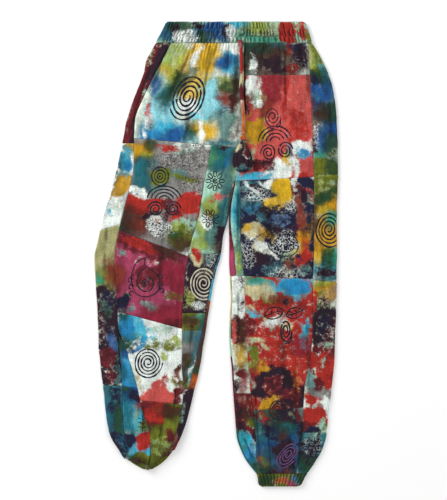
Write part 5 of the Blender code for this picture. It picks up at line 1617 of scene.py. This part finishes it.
def build_drawstring(sizes, material):
    path = cord_path()
    run = np.arange(len(path)) * CORD_STEP
    twist = 0.03 * run + 0.5 * noise(run / 30, 0.5, 97)
    wide = sizes.cord_width / MM * (0.92 + 0.1 * noise(run / 12, 0.5, 101))[:, None]
    rings = tube_rings(path, wide, sizes.cord_depth / MM, twist, CORD_SIDES)
    turn = np.arange(CORD_SIDES) * 2.0 * np.pi / CORD_SIDES
    groove = 0.35 * np.cos(turn * CORD_STRANDS + 0.12 * run[:, None])
    rings = rings + (rings - path[:, None, :]) * groove[..., None] / 4.0
    x, drop, z = np.moveaxis(rings, -1, 0)
    # The grooves between the twisted strands take painted shade.
    fields = dyed("drawstring", x, drop, np.clip(-groove * 1.6, 0, 1))
    mesh = loft("drawstring", in_frame(x, drop, z), fields)
    cord = place("drawstring_cord", mesh, material, "drawstring_cotton", "drawstring")
    pieces = [build_knot(material), build_tassel(material)]
    line = in_frame(*path.T)
    length = float(np.linalg.norm(np.diff(line, axis=0), axis=1).sum())
    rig.cord(
        cord, exit=line[0], length=length, diameter=0.008, far_end="knot", stiffness="limp",
        lay="loose", path=line, with_pieces=pieces,
    )


def build_knot(material):
    """A single overhand knot, drawn up small."""
    t = np.linspace(0.0, 2.0 * np.pi, 90, endpoint=False)
    shape = np.stack(
        [np.sin(t) + 2.0 * np.sin(2 * t), np.cos(t) - 2.0 * np.cos(2 * t), -np.sin(3 * t)], axis=1
    )
    middle = resting_height(*np.array(KNOT_CENTRE)[:, None], 6.0)[0] + 4.6
    reach = 0.5 * np.array(KNOT_SIZE) - 2.4
    path = shape / [3.0, 3.0, 1.0] * reach + [*KNOT_CENTRE, middle]
    path = np.concatenate([path, path[:1]])
    rings = tube_rings(path, *KNOT_CORD, np.zeros(len(path)), KNOT_SIDES)[:-1]
    x, drop, z = np.moveaxis(rings, -1, 0)
    fields = dyed("drawstring_knot", x, drop, 0.0 * x)
    mesh = loft("drawstring_knot", in_frame(x, drop, z), fields, closed=True)
    return place("overhand_knot", mesh, material, "drawstring_cotton", "drawstring_knot")


def build_tassel(material):
    """A bunch of dyed cotton, tied in at the knot and opening out in pleats."""
    drop = np.linspace(TASSEL[0][0], TASSEL[-1][0], 40)[:, None]
    x, half_width, height = (
        along(TASSEL, TASSEL_NAMES, name, drop) for name in ("x", "half_width", "height")
    )
    angle = np.linspace(0.0, 2.0 * np.pi, 90, endpoint=False)[None, :]
    down = (drop - TASSEL[0][0]) / (TASSEL[-1][0] - TASSEL[0][0])
    pleat = np.cos(TASSEL_PLEATS * angle + 1.6 * noise(angle * 2.0, drop / 30, 103))
    pleat = pleat * 0.13 * smooth(down, 0.05, 0.6)
    base = resting_height(x, drop, half_width) + 0.4
    wide = half_width * (1.0 + pleat)
    across = x + wide * np.cos(angle)
    rise = base + 0.5 * height * (1.0 + np.sin(angle) * (1.0 + 1.2 * pleat * (np.sin(angle) > 0)))
    frill = 2.2 * noise(across / 4, 0.5, 107) * smooth(down, 0.75, 1.0)
    # The pleats' inner folds take painted shade.
    fields = dyed("tassel", across, drop + 0.0 * across, np.clip(-pleat * 6.0, 0.0, 0.8))
    mesh = loft("tassel", in_frame(across, drop + frill, rise), fields)
    return place("tassel_bunch", mesh, material, "tassel_cotton", "tassel")


def add(tree, kind, inputs=(), **settings):
    """A node with these settings. Its inputs are values or sockets to link, by name or in order."""
    node = tree.nodes.new(kind)
    for name, value in settings.items():
        setattr(node, name, value)
    for name, value in (inputs.items() if isinstance(inputs, dict) else enumerate(inputs)):
        if isinstance(value, bpy.types.NodeSocket):
            tree.links.new(value, node.inputs[name])
        else:
            node.inputs[name].default_value = value
    return node


def patchy(tree, spot, scale, detail, roughness, *span):
    """Noise eased from one range to another. Its scale is the number of its bumps in a metre."""
    noise_inputs = {"Vector": spot, "Scale": scale, "Detail": detail, "Roughness": roughness}
    bumps = add(tree, "ShaderNodeTexNoise", noise_inputs).outputs["Fac"]
    return add(tree, "ShaderNodeMapRange", (bumps, *span), **EASED).outputs[0]


def inside_dye(tree, name, ragged, low, high, *span):
    """A dye's field, with its edge made ragged, eased from one range about that edge to another."""
    field = add(tree, "ShaderNodeAttribute", attribute_name=f"dye_{name}").outputs["Fac"]
    field = add(tree, "ShaderNodeMath", (ragged, EDGE_WANDER, field), operation="MULTIPLY_ADD")
    middle = FAR_OUTSIDE + 0.5 * EDGE_WANDER
    eased = (field.outputs[0], middle + low, middle + high, *span)
    return add(tree, "ShaderNodeMapRange", eased, **EASED).outputs[0]


def new_material(name, finish):
    """A material with its even values set, its tree, its surface's inputs and Object coordinates."""
    material = bpy.data.materials.new(name)
    material.use_nodes = True
    tree = material.node_tree
    surface = tree.nodes["Principled BSDF"].inputs
    for socket, value in finish.items():
        surface[socket].default_value = value
    return material, tree, surface, add(tree, "ShaderNodeTexCoord").outputs["Object"]


def over_dyed_cotton(dyes):
    """Thin washed cotton: bleeding dye edges, mottling, painted shade in its folds and a visible weave."""
    material, tree, surface, spot = new_material(
        "over_dyed_cotton", {"Roughness": 0.9, "Specular IOR Level": 0.25, "Sheen Weight": 0.12}
    )
    # The edges wander in bumps 12 and 4 mm wide.
    wide = add(tree, "ShaderNodeTexNoise", {"Vector": spot, "Scale": 85.0}).outputs["Color"]
    narrow = {"Vector": spot, "Scale": 260.0, "Detail": 3.0, "Roughness": 0.6}
    narrow = add(tree, "ShaderNodeTexNoise", narrow).outputs["Color"]
    both = add(tree, "ShaderNodeMix", {0: 0.42, 6: wide, 7: narrow}, **BLENDED).outputs[2]
    ragged = add(tree, "ShaderNodeSeparateColor", [both]).outputs
    colour = (*dyes.ground, 1.0)
    for k, (name, soft) in enumerate(DYE_ORDER):
        own = (*getattr(dyes, name), 1.0)
        if soft == SOFT:  # a wash glazes what lies beside it, so that yellow and blue meet in green
            glaze = inside_dye(tree, name, ragged[k % 3], -1.5 * soft, 0.3 * soft, 0.0, 0.65)
            colour = {0: glaze, 6: colour, 7: own}
            colour = add(tree, "ShaderNodeMix", colour, **BLENDED, blend_type="MULTIPLY").outputs[2]
        colour = {0: inside_dye(tree, name, ragged[k % 3], -soft, soft), 6: colour, 7: own}
        colour = add(tree, "ShaderNodeMix", colour, **BLENDED).outputs[2]
    # Crackle is a net of veins 7 mm apart, and soot a speckle of 3 mm.
    bent = add(tree, "ShaderNodeMix", {0: 0.012, 6: spot, 7: wide}, **BLENDED).outputs[2]
    veins = {"Vector": bent, "Scale": 150.0}
    veins = add(tree, "ShaderNodeTexVoronoi", veins, feature="DISTANCE_TO_EDGE").outputs["Distance"]
    veins = add(tree, "ShaderNodeMapRange", (veins, 0.02, 0.13, 0.9, 0.0), **EASED).outputs[0]
    specks = patchy(tree, spot, 330.0, 3.0, 0.7, 0.47, 0.56)
    for name, shape, k, tint in (("crackle", veins, 1, dyes.white), ("soot", specks, 2, dyes.plum)):
        share = (shape, inside_dye(tree, name, ragged[k], -5.0, 5.0))
        share = add(tree, "ShaderNodeMath", share, operation="MULTIPLY").outputs[0]
        colour = {0: share, 6: colour, 7: (*tint, 1.0)}
        colour = add(tree, "ShaderNodeMix", colour, **BLENDED).outputs[2]
    # The tone takes the painted shade of folds and grooves, is mottled every 2.4 mm and clouded every
    # 20 mm, and is streaked down the cloth with the painted light and shade of fine crinkles.
    down = add(tree, "ShaderNodeMapping", {"Vector": spot, "Scale": (1.0, 0.16, 1.0)}).outputs[0]
    hollow = add(tree, "ShaderNodeAttribute", attribute_name="hollow").outputs["Fac"]
    tone = add(tree, "ShaderNodeMapRange", (hollow, 0.0, 1.0, 1.0, 0.42), **EASED).outputs[0]
    for where, scale, detail, roughness, low, high in (
        (spot, 420.0, 4.0, 0.7, 0.68, 1.24),
        (spot, 48.0, 3.0, 0.5, 0.84, 1.16),
        (down, 190.0, 3.0, 0.5, 0.85, 1.12),
    ):
        shade = patchy(tree, where, scale, detail, roughness, 0.3, 0.7, low, high)
        tone = add(tree, "ShaderNodeMath", (tone, shade), operation="MULTIPLY").outputs[0]
    toned = add(tree, "ShaderNodeHueSaturation", {"Color": colour, "Value": tone})
    tree.links.new(toned.outputs[0], surface["Base Color"])
    # The weave's threads are drawn about twice as thick as a thin cotton's. A wave texture's scale is
    # 0.314 over the length of its waves.
    threads = {"Vector": spot, "Scale": 0.314 / THREAD_PITCH, "Distortion": 0.6}
    waves = (
        add(tree, "ShaderNodeTexWave", threads, bands_direction=direction).outputs["Fac"]
        for direction in ("X", "Y")
    )
    weave = add(tree, "ShaderNodeMath", waves, operation="MULTIPLY").outputs[0]
    crumple = {"Vector": spot, "Scale": 300.0, "Detail": 3.0, "Roughness": 0.6}
    crumple = add(tree, "ShaderNodeTexNoise", crumple).outputs["Fac"]
    height = add(tree, "ShaderNodeMath", (weave, 0.16, crumple), operation="MULTIPLY_ADD").outputs[0]
    bump = add(tree, "ShaderNodeBump", {"Height": height, "Strength": 0.7, "Distance": 0.0007})
    tree.links.new(bump.outputs[0], surface["Normal"])
    return material


def two_toned(name, finish, colour, light, *pattern):
    """A dry surface of one colour, patchy with a lighter one."""
    material, tree, surface, spot = new_material(name, finish)
    shades = {0: patchy(tree, spot, *pattern), 6: (*colour, 1.0), 7: (*light, 1.0)}
    shades = add(tree, "ShaderNodeMix", shades, **BLENDED).outputs[2]
    tree.links.new(shades, surface["Base Color"])
    return material


def print_ink(name, colour):
    """Pigment pressed into cotton: flat and dry, thin where the block held little."""
    worn = tuple(0.55 * c + 0.12 for c in colour)
    finish = {"Roughness": 0.85, "Specular IOR Level": 0.2}
    return two_toned(name, finish, colour, worn, 300.0, 3.0, 0.6, 0.5, 0.75, 0.0, 0.45)


def sewing_thread(colour):
    """Spun cotton thread: a little lighter in patches, a painted highlight for the crowns of its twist."""
    light = tuple(min(1.0, 1.6 * c + 0.02) for c in colour)
    finish = {"Roughness": 0.8}
    return two_toned("sewing_thread", finish, colour, light, 2500.0, 2.0, 0.5, 0.3, 0.7)


def white_backdrop():
    """Plain white, so that the camera sees the pants as if cut out."""
    return new_material("white_backdrop", {
        "Base Color": (0.96, 0.96, 0.96, 1.0), "Emission Color": (1.0, 1.0, 1.0, 1.0),
        "Emission Strength": 0.12, "Roughness": 1.0, "Specular IOR Level": 0.0,
    })[0]


def sizes_and_cotton(scene):
    """The pants' sizes, and their cotton, which is made the first time that it is wanted."""
    cotton = bpy.data.materials.get("over_dyed_cotton") or over_dyed_cotton(scene.pants_dyes)
    return scene.pants_sizes, cotton


class PANTS_OT_patches(bpy.types.Operator):
    """Sew the forty patches with their dyes, seams and creases, and print their motifs"""

    bl_idname = "pants.patches"
    bl_label = "Patches and prints"

    def execute(self, context):
        dyes = context.scene.pants_dyes
        patches = build_patches(*sizes_and_cotton(context.scene))
        inks = {
            "ink": print_ink("block_ink", dyes.ink),
            "pale_ink": print_ink("discharge_print", dyes.pale_ink),
            "violet_ink": print_ink("violet_block_ink", dyes.violet_ink),
        }
        prints = build_prints(patches, inks)
        if len(prints) < FEWEST_PRINTS:
            raise RuntimeError("the block prints missed the patches")
        for name, (patch, cut) in patches.items():
            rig.sheet(patch, held="laid", with_pieces=prints.get(name, ()), **cut)
        return {"FINISHED"}


class PANTS_OT_waistband(bpy.types.Operator):
    """Gather the waistband on its elastic and stitch its channels"""

    bl_idname = "pants.waistband"
    bl_label = "Waistband"

    def execute(self, context):
        sizes, cotton = sizes_and_cotton(context.scene)
        thread = sewing_thread(context.scene.pants_dyes.thread)
        for face, (band, cut) in build_waistband(sizes, cotton).items():
            stitches = build_stitches(face, sizes, thread)
            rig.sheet(band, held="gathered", with_pieces=[stitches], **cut)
        return {"FINISHED"}


class PANTS_OT_cuffs(bpy.types.Operator):
    """Gather the left cuff, and turn the right one under its leg"""

    bl_idname = "pants.cuffs"
    bl_label = "Cuffs"

    def execute(self, context):
        build_cuffs(*sizes_and_cotton(context.scene))
        return {"FINISHED"}


class PANTS_OT_drawstring(bpy.types.Operator):
    """Lay the drawstring down the front, with its knot and tassel"""

    bl_idname = "pants.drawstring"
    bl_label = "Drawstring and tassel"

    def execute(self, context):
        build_drawstring(*sizes_and_cotton(context.scene))
        return {"FINISHED"}


class PANTS_OT_stage(bpy.types.Operator):
    """Set the camera straight above, soft light and a white surface"""

    bl_idname = "pants.stage"
    bl_label = "Camera, light and surface"

    def execute(self, context):
        scene = context.scene
        data = bpy.data.cameras.new("camera")
        data.lens, data.sensor_width = 85.0, 36.0
        camera = bpy.data.objects.new("camera", data)
        camera.location = (0.0157, 0.0087, 2.544)  # straight above, so that the pants fill the view
        scene.collection.objects.link(camera)
        scene.camera = camera
        half, low = 6.0, -0.0004
        mesh = bpy.data.meshes.new("surface")
        corners = [(-half, -half, low), (half, -half, low), (half, half, low), (-half, half, low)]
        mesh.from_pydata(corners, [], [(0, 1, 2, 3)])
        mesh.materials.append(white_backdrop())
        floor = bpy.data.objects.new("surface", mesh)
        scene.collection.objects.link(floor)
        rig.stage(floor)
        for name, place_at, size, energy in (
            ("window_light", (-1.5, 1.2, 1.1), 1.2, 34.0),
            ("fill_light", (1.4, -0.6, 1.8), 1.8, 8.0),
        ):
            lamp = bpy.data.lights.new(name, "AREA")
            lamp.size, lamp.energy = size, energy
            light = bpy.data.objects.new(name, lamp)
            light.location = place_at
            light.rotation_euler = (-Vector(place_at)).to_track_quat("-Z", "Y").to_euler()
            scene.collection.objects.link(light)
        world = bpy.data.worlds.new("soft_room")
        scene.world = world
        world.use_nodes = True
        sky = world.node_tree.nodes["Background"].inputs
        sky["Color"].default_value = (1.0, 1.0, 1.0, 1.0)
        sky["Strength"].default_value = 0.6
        scene.view_settings.view_transform = "Standard"
        return {"FINISHED"}


class PANTS_PT_build(bpy.types.Panel):
    """Steps that build the pants"""

    bl_idname = "PANTS_PT_build"
    bl_label = "Harem Pants"
    bl_space_type = "VIEW_3D"
    bl_region_type = "UI"
    bl_category = "Pants"

    def draw(self, context):
        for step in STEPS:
            self.layout.operator(step.bl_idname)


STEPS = (
    PANTS_OT_stage, PANTS_OT_drawstring, PANTS_OT_patches, PANTS_OT_waistband, PANTS_OT_cuffs,
)
CLASSES = (PantsSizes, PantsDyes, *STEPS, PANTS_PT_build)


def register():
    for cls in CLASSES:
        bpy.utils.register_class(cls)
    bpy.types.Scene.pants_sizes = bpy.props.PointerProperty(type=PantsSizes)
    bpy.types.Scene.pants_dyes = bpy.props.PointerProperty(type=PantsDyes)


def unregister():
    del bpy.types.Scene.pants_dyes
    del bpy.types.Scene.pants_sizes
    for cls in reversed(CLASSES):
        bpy.utils.unregister_class(cls)


def main():
    register()
    bpy.ops.pants.stage()
    bpy.ops.pants.drawstring()
    bpy.ops.pants.patches()
    bpy.ops.pants.waistband()
    bpy.ops.pants.cuffs()
    boxes = {"cad": CAD_BOX, "visual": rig.bounds()}
    with open("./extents.json", "w") as out:
        json.dump({name: [list(corner) for corner in box] for name, box in boxes.items()}, out)


if __name__ == "__main__":
    main()
